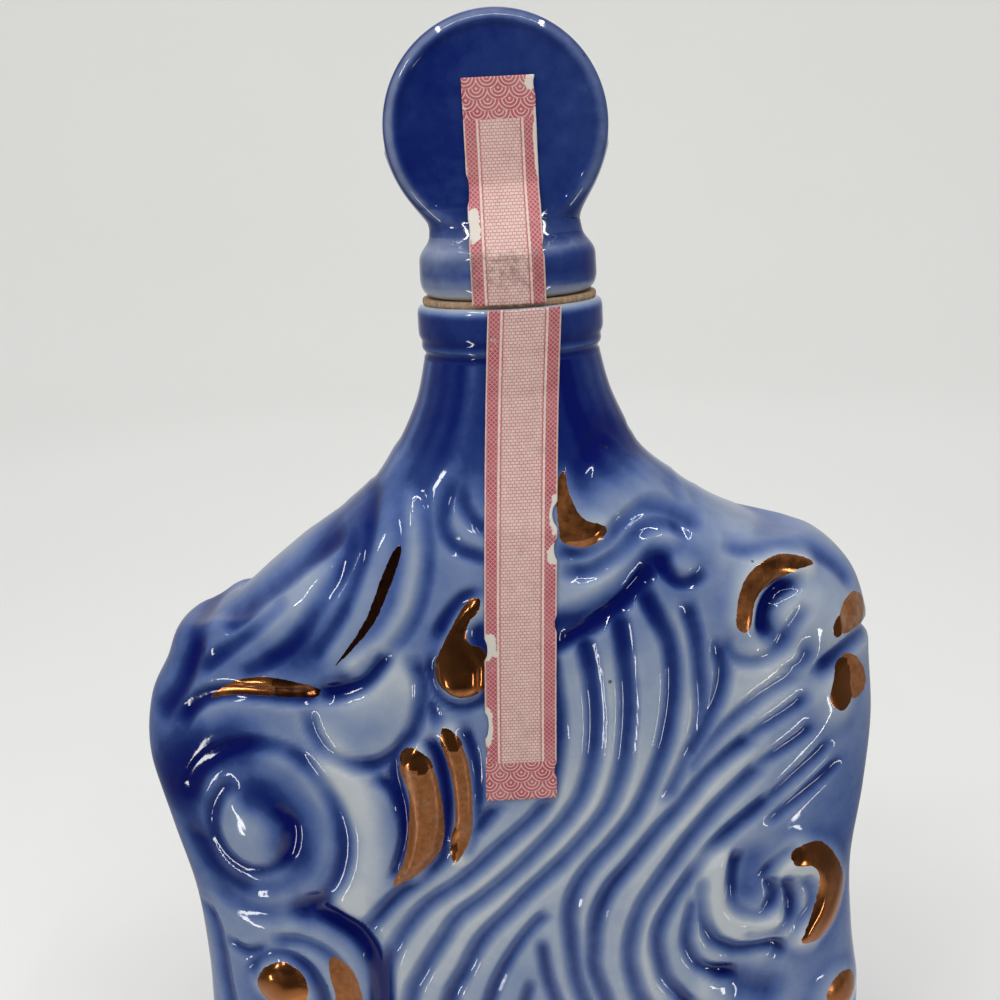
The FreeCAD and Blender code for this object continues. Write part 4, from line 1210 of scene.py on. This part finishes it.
# %% Cork
cork_low, cork_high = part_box("cork_plug")
cork_top_radius = 12.8 * mm
cork_end_radius = 12.3 * mm
cork_edge = 0.8 * mm
cork_bore = 7.05 * mm
cork_columns = 160
cork_rows = 44
cork_end_rows = 8
cork_pit = 0.14 * mm
cork_pit_size = 2600.0
cork_pit_seed = 4
cork_pit_start = 0.62
cork_pit_gain = 4
cork_end_slack = 0.01 * mm
pit_octaves = 3
pit_waves = 9
pit_spread = 12
cork_stops = ((0.15, (0.10, 0.045, 0.018)), (0.42, (0.33, 0.185, 0.085)), (0.75, (0.50, 0.32, 0.165)))


def even_turns(count):
    """Angles of a full turn, evenly spaced."""
    return np.linspace(0, 2 * math.pi, count, endpoint=False)


def lathe(profile, columns):
    """A closed ring turned round the neck's axis from a closed profile."""
    rings = turned_rings(profile, even_turns(columns))
    points, faces = closed_sheet(np.concatenate([rings, rings[:1]]))
    count = len(profile) * columns
    return points[:count], [tuple(corner % count for corner in face) for face in faces]


def pits(points, scale, seed):
    """Soft irregular values from 0 to 1, by waves in turned directions."""
    draw = np.random.default_rng(seed)
    total = np.zeros(len(points))
    for octave in range(pit_octaves):
        for wave in range(pit_waves):
            heading = draw.normal(size=3)
            heading *= scale * 2**octave / np.linalg.norm(heading)
            total += np.sin(points @ heading + draw.uniform(0, 2 * math.pi)) / 2**octave
    return np.clip(0.5 + total / pit_spread, 0, 1)


bottom, top = cork_low[2], cork_high[2]
end_line = (cork_bore, bottom), (cork_end_radius - cork_edge, bottom)
side_line = (cork_end_radius, bottom + cork_edge), (cork_top_radius, top)
top_line = (cork_top_radius, top), (cork_bore, top)
profile = straight(*end_line, np.linspace(0, 1, cork_end_rows))
profile += straight(*side_line, np.linspace(0, 1, cork_rows))
profile += straight(*top_line, (0.5, 1.0))
points, faces = lathe(profile, cork_columns)
hollow = np.clip(pits(points, cork_pit_size, cork_pit_seed) - cork_pit_start, 0, 1) * cork_pit_gain
radius = np.hypot(points[:, 0], points[:, 1])
on_side = radius > cork_end_radius - cork_edge * 1.5
points[:, :2] *= (1 - np.where(on_side, hollow * cork_pit / radius, 0))[:, None]
at_end = points[:, 2] < bottom + cork_end_slack
points[:, 2] += np.where(at_end, hollow * cork_pit, 0)
cork = new_piece("cork_sleeve", points, faces, "stopper", "cork_plug")

tree, shader = new_material("pressed_cork", cork)
place = object_place(tree)
crumbs = add_node(tree, "TexVoronoi", None, {"Vector": place, "Scale": 620.0, "Randomness": 1.0})
crumb_tone = add_node(tree, "SeparateColor", None, {"Color": crumbs.outputs["Color"]}).outputs[0]
grain = noise(tree, place, 1500.0, 4.0, 0.6)
tone = maths(tree, "MULTIPLY_ADD", grain, 0.5, maths(tree, "MULTIPLY", crumb_tone, 0.5))
fill(tree, shader, {
    "Base Color": ramp(tree, tone, cork_stops),
    "Roughness": maths(tree, "MULTIPLY_ADD", grain, 0.2, 0.68),
    "Normal": bumps(tree, tone, 0.6, 0.25 * mm),
})
print("cork", len(points), "points")

# %% [markdown]
# Board and paper are both pressed fibre, and both are handled. So one group gives both their flecks,
# by two noises that are drawn out along and across, and another gives both their grime.

# %% Fibre and grime, shared by board and paper
thread_stretches = ((1.0, 1.0, 0.25), (0.25, 1.0, 1.0))

fibre, given, group_output = new_group("fibre", {"Scale": 1000.0}, {"Fleck": "Float", "Nap": "Float"})
tree = fibre
place = object_place(tree)
threads = []
for stretch in thread_stretches:
    stretched = add_node(tree, "Mapping", None, {"Vector": place, "Scale": stretch}).outputs[0]
    threads.append(noise(tree, stretched, given["Scale"], 3.0))
nap = maths(tree, "MAXIMUM", *threads)
fill(tree, group_output, {"Fleck": smooth_step(tree, nap, 0.45, 0.72), "Nap": nap})

grime, given, group_output = new_group("grime", {"Amount": 0.3, "Scale": 300.0}, {"Mask": "Float"})
tree = grime
place = object_place(tree)
smear = noise(tree, place, given["Scale"], 5.0, 0.65)
spots = add_node(tree, "TexVoronoi", None, {"Vector": place, "Scale": 1300.0}).outputs["Distance"]
dots = maths(tree, "LESS_THAN", spots, maths(tree, "MULTIPLY", smear, 0.3))
dirty = maths(tree, "MAXIMUM", smooth_step(tree, smear, 0.48, 0.78), maths(tree, "MULTIPLY", dots, 0.6))
fill(tree, group_output, {"Mask": maths(tree, "MULTIPLY", dirty, given["Amount"])})
print("fibre and grime ready")

# %% [markdown]
# The washer is a flat ring of tan board that lies on the rim. It is turned from a profile with two
# rounded edges, and a noise draws its outer edge in a little, because cut board is furred there.

# %% Board washer
washer_low, washer_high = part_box("seal_washer")
washer_outer = washer_high[0]
washer_inner = 13.4 * mm
washer_columns = 180
board_round = 0.3 * mm
fur_depth = 0.16 * mm
fur_size = 3000.0
fur_seed = 9
fur_start_share = 0.9
edge_turns = np.linspace(-math.pi / 2, math.pi / 2, 7)
board_colours = ((0.27, 0.165, 0.09, 1), (0.42, 0.285, 0.175, 1))
board_dirt = (0.07, 0.045, 0.03, 1)


def half_round(middle, reach):
    """A rounded edge: half an oval about a middle, by its reach outward and up."""
    return [(middle[0] + reach[0] * math.cos(turn), middle[1] + reach[1] * math.sin(turn))
            for turn in edge_turns]


half_thickness = (washer_high[2] - washer_low[2]) / 2
washer_middle = washer_low[2] + half_thickness
profile = half_round((washer_outer - board_round, washer_middle), (board_round, half_thickness))
profile += half_round((washer_inner + board_round, washer_middle), (-board_round, -half_thickness))
points, faces = lathe(profile, washer_columns)
outward = (np.hypot(points[:, 0], points[:, 1]) - washer_inner) / (washer_outer - washer_inner)
furred = (pits(points, fur_size, fur_seed) - 0.5) * fur_depth
drawn_in = np.where(outward > fur_start_share, np.minimum(furred, 0.0), 0)
points[:, :2] *= (1 + drawn_in / washer_outer)[:, None]
washer = new_piece("board_washer", points, faces, "washer", "seal_washer")

tree, shader = new_material("tan_board", washer)
board = use_group(tree, fibre, {"Scale": 1400.0})
dirt = use_group(tree, grime, {"Amount": 0.55, "Scale": 420.0})
tan = mixed(tree, board["Fleck"], *board_colours)
fill(tree, shader, {
    "Base Color": mixed(tree, dirt["Mask"], tan, board_dirt),
    "Roughness": 0.85,
    "Normal": bumps(tree, board["Nap"], 0.5, 0.2 * mm),
})
print("washer", len(points), "points")

# %% [markdown]
# The seal strip is printed paper in two lengths, torn where the stopper left the neck. Each length
# is laid out flat first, as columns across and rows along. Its sides are frayed and nicked, and its
# torn end is ragged.

# %% Flat strips
strip_columns = 44
strip_row_step = 0.55 * mm
fray_depth = 0.05 * mm
fray_size = 900.0
tear_depth = 0.45 * mm
tear_size = 1500.0
tear_reach = 6 * mm
ragged_octaves = 5
ragged_waves = 3
ragged_growth = 1.9
ragged_fall = 1.5
ragged_spread = 4.0
nick_power = 0.6
upper_seed = 21
lower_seed = 41
# Places where a side is torn in: middle, half length and depth
upper_left_nicks = np.array(((23, 3.2, 0.5), (31, 2.0, 0.25))) * mm
upper_right_nicks = np.array(((2.0, 1.5, 0.3), (35, 1.6, 0.3))) * mm
lower_left_nicks = np.array(((71, 2.2, 0.7), (88, 3.0, 0.8), (94, 1.5, 0.4))) * mm
lower_right_nicks = np.array(((43, 2.4, 1.1), (50, 2.2, 0.7), (66, 1.6, 0.4), (99, 1.5, 0.5))) * mm


def ragged_line(places, seed, scale):
    """A rough edge: slow waves and finer ones, from -1 to 1."""
    draw = np.random.default_rng(seed)
    total = np.zeros(len(places))
    for octave in range(ragged_octaves):
        for wave in range(ragged_waves):
            rate = scale * ragged_growth**octave * draw.uniform(0.7, 1.3)
            total += np.sin(places * rate + draw.uniform(0, 2 * math.pi)) / ragged_fall**octave
    return np.clip(total / ragged_spread, -1, 1)


def nicks(along, places):
    """How deep a side is torn in along its length."""
    cut = np.zeros(len(along))
    for middle, half_length, depth in places:
        bite = np.clip(1 - ((along - middle) / half_length) ** 2, 0, 1) ** nick_power
        cut = np.maximum(cut, depth * bite)
    return cut


def flat_strip(length, left_nicks, right_nicks, torn_start, torn_end, seed):
    """Where each point of a flat strip lies across it and along it."""
    along = np.linspace(0, length, int(length / strip_row_step) + 1)
    rough_left = ragged_line(along, seed, fray_size) * fray_depth + nicks(along, left_nicks)
    rough_right = ragged_line(along, seed + 1, fray_size) * fray_depth + nicks(along, right_nicks)
    left = -strip_width / 2 + np.maximum(rough_left, 0)
    right = strip_width / 2 - np.maximum(rough_right, 0)
    share = np.linspace(0, 1, strip_columns)
    across = between(left[:, None], right[:, None], share[None, :])
    run = np.repeat(along[:, None], strip_columns, axis=1)
    tear_start = torn_start * np.abs(ragged_line(across[0], seed + 2, tear_size))
    tear_end = torn_end * np.abs(ragged_line(across[-1], seed + 3, tear_size))
    run = run + tear_start[None, :] * np.clip(1 - run / tear_reach, 0, 1)
    run = run - tear_end[None, :] * np.clip(1 - (length - run) / tear_reach, 0, 1)
    return across, run


upper_strip_low, upper_strip_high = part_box("stopper_strip")
upper_length = upper_strip_high[2] - upper_strip_low[2]
upper_nicks = upper_left_nicks, upper_right_nicks
upper_flat = flat_strip(upper_length, *upper_nicks, 0.0, tear_depth, upper_seed)
lower_nicks = lower_left_nicks, lower_right_nicks
lower_flat = flat_strip(lower_strip_length, *lower_nicks, tear_depth, 0.0, lower_seed)
print("flat strips of", len(upper_flat[0]), "and", len(lower_flat[0]), "rows")

# %% [markdown]
# Each point of a flat strip is then set on what it is glued to. It keeps where it was on the flat
# strip, in millimetres, so that the print follows the paper and not the room. The upper length is
# free between the disc and the collar, and buckles a little there.

# %% Laying the strips
strip_thickness = 0.16 * mm
upper_strip_leave = collar_top + 13.0 * mm
upper_strip_crease = collar_top - collar_edge / 2
upper_strip_shift = -0.3 * mm
buckle_height = 0.12 * mm
buckle_along = 3.1 * mm
buckle_across = 4.0 * mm
buckle_gain = 3
lifting_rounds = 8
neck_band_radius = 20.5 * mm


def strip_piece(name, flat, lay, body, node):
    """A flat strip laid on the object and given its thickness."""
    across, run = flat
    back = lay(across, run)
    down = np.gradient(back, axis=0)
    sideways = np.gradient(back, axis=1)
    facing = np.cross(sideways, -down)
    facing /= np.linalg.norm(facing, axis=-1, keepdims=True)
    front = back + facing * strip_thickness
    layer = np.arange(run.size).reshape(run.shape)
    corners = [layer[:-1, :-1], layer[1:, :-1], layer[1:, 1:], layer[:-1, 1:]]
    front_faces = np.stack(corners, axis=-1).reshape(-1, 4)
    back_faces = front_faces[:, ::-1] + layer.size
    loop = np.concatenate([layer[0, :], layer[1:, -1], layer[-1, -2::-1], layer[-2:0:-1, 0]])
    after = np.roll(loop, -1)
    side_faces = np.stack([loop, after, after + layer.size, loop + layer.size], axis=-1)
    points = np.concatenate([front.reshape(-1, 3), back.reshape(-1, 3)])
    faces = np.concatenate([front_faces, back_faces, side_faces]).tolist()
    piece = new_piece(name, points, faces, body, node)
    keep_value(piece, "print_across", np.tile(across.ravel() / mm, 2))
    keep_value(piece, "print_along", np.tile(run.ravel() / mm, 2))
    return piece


def lay_upper(across, run):
    """Down the disc's face, slanting out to the collar and straight down over it."""
    height = upper_strip_high[2] - run
    x = across + upper_strip_shift
    slope = np.clip((upper_strip_leave - height) / (upper_strip_leave - upper_strip_crease), 0, 1)
    round_collar = np.sqrt(collar_radius**2 - x**2)
    wave = np.sin(run / buckle_along + across / buckle_across) * np.clip(slope * buckle_gain, 0, 1)
    depth = between(disc_thickness / 2 - dish_depth, round_collar, slope) + strip_gap
    depth = depth + buckle_height * np.maximum(wave, 0)
    for step in range(lifting_rounds):
        place = np.stack([x, -depth, height], axis=-1)
        near = strip_gap - stopper_distance(place.reshape(-1, 3)).reshape(x.shape)
        depth = depth + np.maximum(near, 0)
    return np.stack([x, -depth, height], axis=-1)


def lay_lower(across, run):
    """From the rim, down the neck's band and over the flask."""
    share = run / lower_strip_length
    x = across + lower_strip_middle(share)
    height = rim_height - run
    on_flask = front_depth(x.ravel(), height.ravel()).reshape(x.shape)
    depth = np.maximum(np.sqrt(neck_band_radius**2 - x**2), on_flask)
    return np.stack([x, -depth - strip_gap, height], axis=-1)


upper_strip = strip_piece("upper_seal_strip", upper_flat, lay_upper, "stopper", "stopper_strip")
lower_strip = strip_piece("lower_seal_strip", lower_flat, lay_lower, "bottle", "body_strip")
print("strips", len(upper_strip.data.vertices), "and", len(lower_strip.data.vertices), "points")

# %% [markdown]
# The print is generic: a fine brick lattice down the middle, hatched red borders between thin
# rules, and a row of fish-scale arcs at the two outer ends. It is drawn with sums on the two values
# that the strips keep, so its lines stay sharp at any distance.

# %% Print of the seal strip
# Sizes of the print in millimetres
border_width = 2.7
rule_width = 0.22
margin_width = 0.32
hatch_pitch, hatch_line = 1.0, 0.2
scale_band = 8.6
scale_pitch = 4.6
arc_pitch, arc_line = 0.75, 0.24
brick_options = {"offset": 0.5, "squash": 1.0}
brick_sizes = {"Scale": 1.0, "Brick Width": 0.9, "Row Height": 0.66}
brick_lines = {"Mortar Size": 0.12, "Mortar Smooth": 0.6}
# Strengths of the ink: on the lattice and its ground, and on and off the lines of border and scales
lattice_ink, ground_ink = 0.6, 0.1
border_inks = (0.97, 0.5)
scale_inks = (0.92, 0.22)
white_rule_ink = 0.02
red_rule_ink = 0.9
margin_ink = 0.2


def apart(tree, value, place):
    """How far a value is from a place, on either side."""
    return maths(tree, "ABSOLUTE", maths(tree, "SUBTRACT", value, place))


def stripe(tree, value, pitch, width):
    """1 on thin lines that repeat at a pitch, 0 between them."""
    part = maths(tree, "FRACT", maths(tree, "DIVIDE", value, pitch))
    return maths(tree, "LESS_THAN", part, width / pitch)


def fish_scales(tree, across, along):
    """1 on the arcs of rows of scales, 0 between them."""
    row = maths(tree, "DIVIDE", along, scale_pitch / 2)
    every_other = maths(tree, "PINGPONG", maths(tree, "FLOOR", row), 1.0)
    shifted = maths(tree, "ADD", across, maths(tree, "MULTIPLY", every_other, scale_pitch / 2))
    cell = maths(tree, "FRACT", maths(tree, "DIVIDE", shifted, scale_pitch))
    x = maths(tree, "MULTIPLY", maths(tree, "SUBTRACT", cell, 0.5), scale_pitch)
    z = maths(tree, "MULTIPLY", maths(tree, "FRACT", row), scale_pitch / 2)
    squares = maths(tree, "ADD", maths(tree, "MULTIPLY", x, x), maths(tree, "MULTIPLY", z, z))
    return stripe(tree, maths(tree, "SQRT", squares), arc_pitch, arc_line)


def strip_print(tree, across, along, from_side, scale_start):
    """How much ink lies at each place of the strip."""
    flat = add_node(tree, "CombineXYZ", None, {"X": across, "Y": along}).outputs[0]
    brick_sockets = {"Vector": flat, **brick_sizes, **brick_lines}
    lattice = add_node(tree, "TexBrick", brick_options, brick_sockets).outputs["Fac"]
    middle_ink = maths(tree, "MULTIPLY_ADD", lattice, lattice_ink, ground_ink)
    rising = stripe(tree, maths(tree, "ADD", across, along), hatch_pitch, hatch_line)
    falling = stripe(tree, maths(tree, "SUBTRACT", across, along), hatch_pitch, hatch_line)
    border_ink = blended(tree, maths(tree, "MAXIMUM", rising, falling), *border_inks)
    in_border = maths(tree, "LESS_THAN", from_side, border_width)
    off_white = apart(tree, from_side, border_width + rule_width)
    off_red = apart(tree, from_side, border_width + 3 * rule_width)
    ink = blended(tree, in_border, middle_ink, border_ink)
    ink = blended(tree, maths(tree, "LESS_THAN", off_white, rule_width), ink, white_rule_ink)
    ink = blended(tree, maths(tree, "LESS_THAN", off_red, rule_width / 2), ink, red_rule_ink)
    ink = blended(tree, maths(tree, "LESS_THAN", from_side, margin_width), ink, margin_ink)
    off_band = apart(tree, along, scale_start + scale_band / 2)
    in_scales = maths(tree, "LESS_THAN", off_band, scale_band / 2)
    arcs = fish_scales(tree, across, maths(tree, "SUBTRACT", along, scale_start))
    return blended(tree, in_scales, ink, blended(tree, arcs, *scale_inks))


print("print with borders of", border_width, "mm and bands of", scale_band, "mm")

# %% [markdown]
# The paper under the print is cream and fibrous. The ink has faded unevenly, the printed face is
# worn off near the sides and peeled at a few places, and handling has left grime. The upper
# length is also darker in one blotchy band across it, 39 mm from its top end.

# %% Seal paper
paper_colours = ((0.62, 0.48, 0.42, 1), (0.70, 0.57, 0.50, 1))
red_ink = (0.38, 0.040, 0.070, 1)
peeled_paper = (0.60, 0.55, 0.49, 1)
grime_and_band_colour = (0.11, 0.075, 0.055, 1)
# Places across and along in millimetres, then half width and half length
upper_peeled = ((6.9, 1.4, 1.3, 1.7), (7.6, 14.0, 0.7, 7.0), (-6.6, 30.0, 1.5, 3.4))
lower_peeled = (
    (-7.0, 70.5, 2.4, 3.0), (-7.3, 88.0, 1.4, 4.4), (7.3, 43.0, 1.2, 4.0), (7.2, 51.0, 1.7, 2.2),
)
peel_roughness = 1.6
peel_edge = 1.8
# Ranges: how near a side wears, where the print is worn off, and the dark band's reach and its blotches
side_wear = (2.4, 0.0)
worn_print = (0.68, 0.72)
dark_band_reach = (6.5, 1.0)
dark_band_blotches = (0.40, 0.62)
upper_dark_band = 39.0
# Past the end of the lower strip, which has no dark band
lower_dark_band = 150.0


def peeled_spots(tree, across, along, rough, places):
    """1 where the printed face is peeled off, with a rough outline."""
    peeled = 0.0
    for x, z, half_width, half_length in places:
        dx = maths(tree, "DIVIDE", maths(tree, "SUBTRACT", across, x), half_width)
        dz = maths(tree, "DIVIDE", maths(tree, "SUBTRACT", along, z), half_length)
        away = maths(tree, "SQRT", maths(tree, "MULTIPLY_ADD", dx, dx, maths(tree, "MULTIPLY", dz, dz)))
        rough_away = maths(tree, "MULTIPLY_ADD", rough, peel_roughness, away)
        peeled = maths(tree, "MAXIMUM", maths(tree, "LESS_THAN", rough_away, peel_edge), peeled)
    return peeled


def seal_paper(name, piece, scale_start, dark_band_middle, peeled_places):
    """Printed paper that is faded, worn, peeled, grimy and darker in one band."""
    tree, shader = new_material(name, piece)
    place = object_place(tree)
    across = stored(tree, "print_across")
    along = stored(tree, "print_along")
    from_side = maths(tree, "SUBTRACT", strip_width / mm / 2, maths(tree, "ABSOLUTE", across))
    fade = maths(tree, "MULTIPLY_ADD", noise(tree, place, 190.0, 3.0), 0.4, 0.78)
    ink = maths(tree, "MULTIPLY", strip_print(tree, across, along, from_side, scale_start), fade)
    scuff = noise(tree, place, 460.0, 5.0, 0.7)
    near_side = smooth_step(tree, from_side, *side_wear)
    worn = smooth_step(tree, maths(tree, "MULTIPLY_ADD", near_side, 0.07, scuff), *worn_print)
    worn = maths(tree, "MAXIMUM", worn, peeled_spots(tree, across, along, scuff, peeled_places))
    fibres = use_group(tree, fibre, {"Scale": 1700.0})
    paper = mixed(tree, fibres["Fleck"], *paper_colours)
    printed = mixed(tree, worn, mixed(tree, ink, paper, red_ink), peeled_paper)
    dirt = use_group(tree, grime, {"Amount": 0.22, "Scale": 240.0})
    # a blotchy darker band across the strip at one place along it
    near_dark_band = smooth_step(tree, apart(tree, along, dark_band_middle), *dark_band_reach)
    dark_band = maths(tree, "MULTIPLY", near_dark_band, smooth_step(tree, scuff, *dark_band_blotches))
    # the darker band shares the grime's colour
    grime_and_dark_band = maths(tree, "MAXIMUM", dirt["Mask"], maths(tree, "MULTIPLY", dark_band, 0.55))
    surface = maths(tree, "MULTIPLY_ADD", worn, -0.6, fibres["Nap"])
    fill(tree, shader, {
        "Base Color": mixed(tree, grime_and_dark_band, printed, grime_and_band_colour),
        "Roughness": maths(tree, "MULTIPLY_ADD", fibres["Nap"], 0.15, 0.52),
        "Normal": bumps(tree, surface, 0.35, 0.12 * mm),
    })
    return tree


lower_scale_start = lower_strip_length / mm - scale_band
tree = seal_paper("seal_paper_upper", upper_strip, 0.0, upper_dark_band, upper_peeled)
seal_paper("seal_paper_lower", lower_strip, lower_scale_start, lower_dark_band, lower_peeled)
print("seal paper of", len(tree.nodes), "nodes")

# %% [markdown]
# The stage is a pale floor that turns up into a wall all round, so there is no horizon from any
# side.

# %% Stage
floor_rings = (0.2, 0.6)
floor_radius = 1.1
sweep_radius = 0.7
sweep_turns = np.linspace(0, math.pi / 2, 17)
wall_height = 0.8
stage_columns = 96
sweep_colours = ((0.765, 0.76, 0.74, 1), (0.795, 0.79, 0.77, 1))

stage_profile = [(radius, 0.0) for radius in floor_rings]
stage_profile += [(floor_radius + sweep_radius * math.sin(turn), sweep_radius * (1 - math.cos(turn)))
                  for turn in sweep_turns]
stage_profile += [(floor_radius + sweep_radius, wall_height)]
points, faces = closed_sheet(turned_rings(stage_profile, even_turns(stage_columns)), np.zeros(3))
mesh = bpy.data.meshes.new("stage")
mesh.from_pydata(points, [], [face[::-1] for face in faces])
mesh.shade_smooth()
stage = bpy.data.objects.new("stage", mesh)
bpy.context.collection.objects.link(stage)
tree, shader = new_material("pale_paper_sweep", stage)
fill(tree, shader, {
    "Base Color": mixed(tree, noise(tree, object_place(tree), 3.0, 2.0), *sweep_colours),
    "Roughness": 0.9,
    "Specular IOR Level": 0.0,
})
print("stage", len(points), "points")

# %% [markdown]
# The room's own light is even. A light tent adds a ladder of thin strips in its
# roof, whose mirror images are the small bright marks on the bumps, a small window high on the left,
# and one lamp that only lights the wall.

# %% Light
# Name, place, aim, width and height, and power
softboxes = (
    ("left_roof_strip", (-0.20, -0.18, 0.62), (-0.20, -0.18, 0.0), (0.014, 0.50), 0.8),
    ("right_roof_strip", (0.20, -0.18, 0.62), (0.20, -0.18, 0.0), (0.014, 0.50), 0.8),
    ("cross_roof_strip", (0.0, -0.24, 0.62), (0.0, -0.24, 0.0), (0.40, 0.014), 0.5),
    ("left_window", (-0.58, -0.38, 0.64), (0.0, 0.0, 0.2), (0.07, 0.14), 0.6),
    ("wall_lamp", (0.0, 0.45, 1.1), (0.0, 1.8, 0.45), (0.9, 0.15), 4.5),
)
room_light = {"Color": (0.98, 0.99, 1.0, 1), "Strength": 0.74}
straight_down = 0.9


def softbox(name, place, aim, size, power):
    """An area light at a place, turned to face an aim, with its height towards +Y or up."""
    light = bpy.data.lights.new(name, "AREA")
    light.shape = "RECTANGLE"
    light.size, light.size_y = size
    light.energy = power
    lamp = bpy.data.objects.new(name, light)
    bpy.context.collection.objects.link(lamp)
    back = np.array(place, float) - np.array(aim, float)
    back /= np.linalg.norm(back)
    side = np.cross((0.0, 1.0, 0.0) if abs(back[2]) > straight_down else (0.0, 0.0, 1.0), back)
    side /= np.linalg.norm(side)
    up = np.cross(back, side)
    rows = [[side[row], up[row], back[row], place[row]] for row in range(3)]
    lamp.matrix_world = Matrix(rows + [[0, 0, 0, 1]])
    return lamp


for light in softboxes:
    softbox(*light)
world = bpy.data.worlds.new("studio")
world.use_nodes = True
bpy.context.scene.world = world
fill(world.node_tree, world.node_tree.nodes["Background"], room_light)
bpy.context.scene.view_settings.view_transform = "Standard"
print(len(softboxes), "lights and an even room")

# %% [markdown]
# Gloss shows what stands around. A black flag, as studios use it, stands round the front, and the
# dark that it mirrors is what makes the cobalt look deep. It fades to a pale glow at its back and
# along its inner edge. Thin glowing strips lie on the table and draw the bright lines along the ribs.
# Only mirrored rays meet these cards, so they show in the gloss and nowhere else.

# %% Cards for the gloss
flag_turns = np.radians(np.linspace(-172, 172, 37))
flag_side_shares = ((0, 40, 95, 145, 172), (0.0, 0.0, 0.09, 0.4, 1.0))
flag_row_shares = (1.0, 0.0, 0.05, 0.0, 0.0, 0.06, 0.1, 0.1)
flag_glow = 0.6
flag_lift = 0.3 * mm
# Reach and height of each row
flag_rows = (
    (0.09, flag_lift), (0.18, flag_lift), (0.85, flag_lift), (0.85, 0.35), (0.85, 0.6), (0.65, 0.95),
    (0.3, 1.1), (0.01, 1.12),
)
felt_colours = ((0.010, 0.010, 0.012, 1), (0.022, 0.021, 0.022, 1))
strip_turns = {"left_table_strip": -58, "right_table_strip": 56}
strip_half_turn = 1.7
strip_reach = (0.2, 0.42)
strip_glow = 14.0


def gloss_card(name, turns, rows):
    """A card, bent round the flask by rows of reach and height, that only mirrored rays meet."""
    corners = [(math.sin(turn) * reach, -math.cos(turn) * reach, height)
               for reach, height in rows for turn in turns]
    count = len(turns)
    faces = [(low, low + 1, low + count + 1, low + count)
             for row in range(len(rows) - 1) for low in range(row * count, row * count + count - 1)]
    mesh = bpy.data.meshes.new(name)
    mesh.from_pydata(corners, [], faces)
    card = bpy.data.objects.new(name, mesh)
    bpy.context.collection.objects.link(card)
    card.visible_camera = False
    card.visible_diffuse = False
    card.visible_shadow = False
    return card


flag = gloss_card("black_flag", flag_turns, flag_rows)
tree, shader = new_material("black_felt", flag)
side_glow = np.interp(np.abs(np.degrees(flag_turns)), *flag_side_shares)
keep_value(flag, "fade", np.clip(np.add.outer(flag_row_shares, side_glow), 0, 1).ravel())
fill(tree, shader, {
    "Base Color": mixed(tree, noise(tree, object_place(tree), 40.0, 2.0), *felt_colours),
    "Roughness": 1.0,
    "Emission Color": (0.95, 0.97, 1.0, 1),
    "Emission Strength": maths(tree, "MULTIPLY", stored(tree, "fade"), flag_glow),
})

for name, middle in strip_turns.items():
    turns = np.radians((middle - strip_half_turn, middle + strip_half_turn))
    strip = gloss_card(name, turns, [(reach, mm) for reach in strip_reach])
    tree, shader = new_material(name + "_glow", strip)
    fill(tree, shader, {"Emission Color": (1.0, 0.98, 0.95, 1), "Emission Strength": strip_glow})
print("cards for the gloss ready")
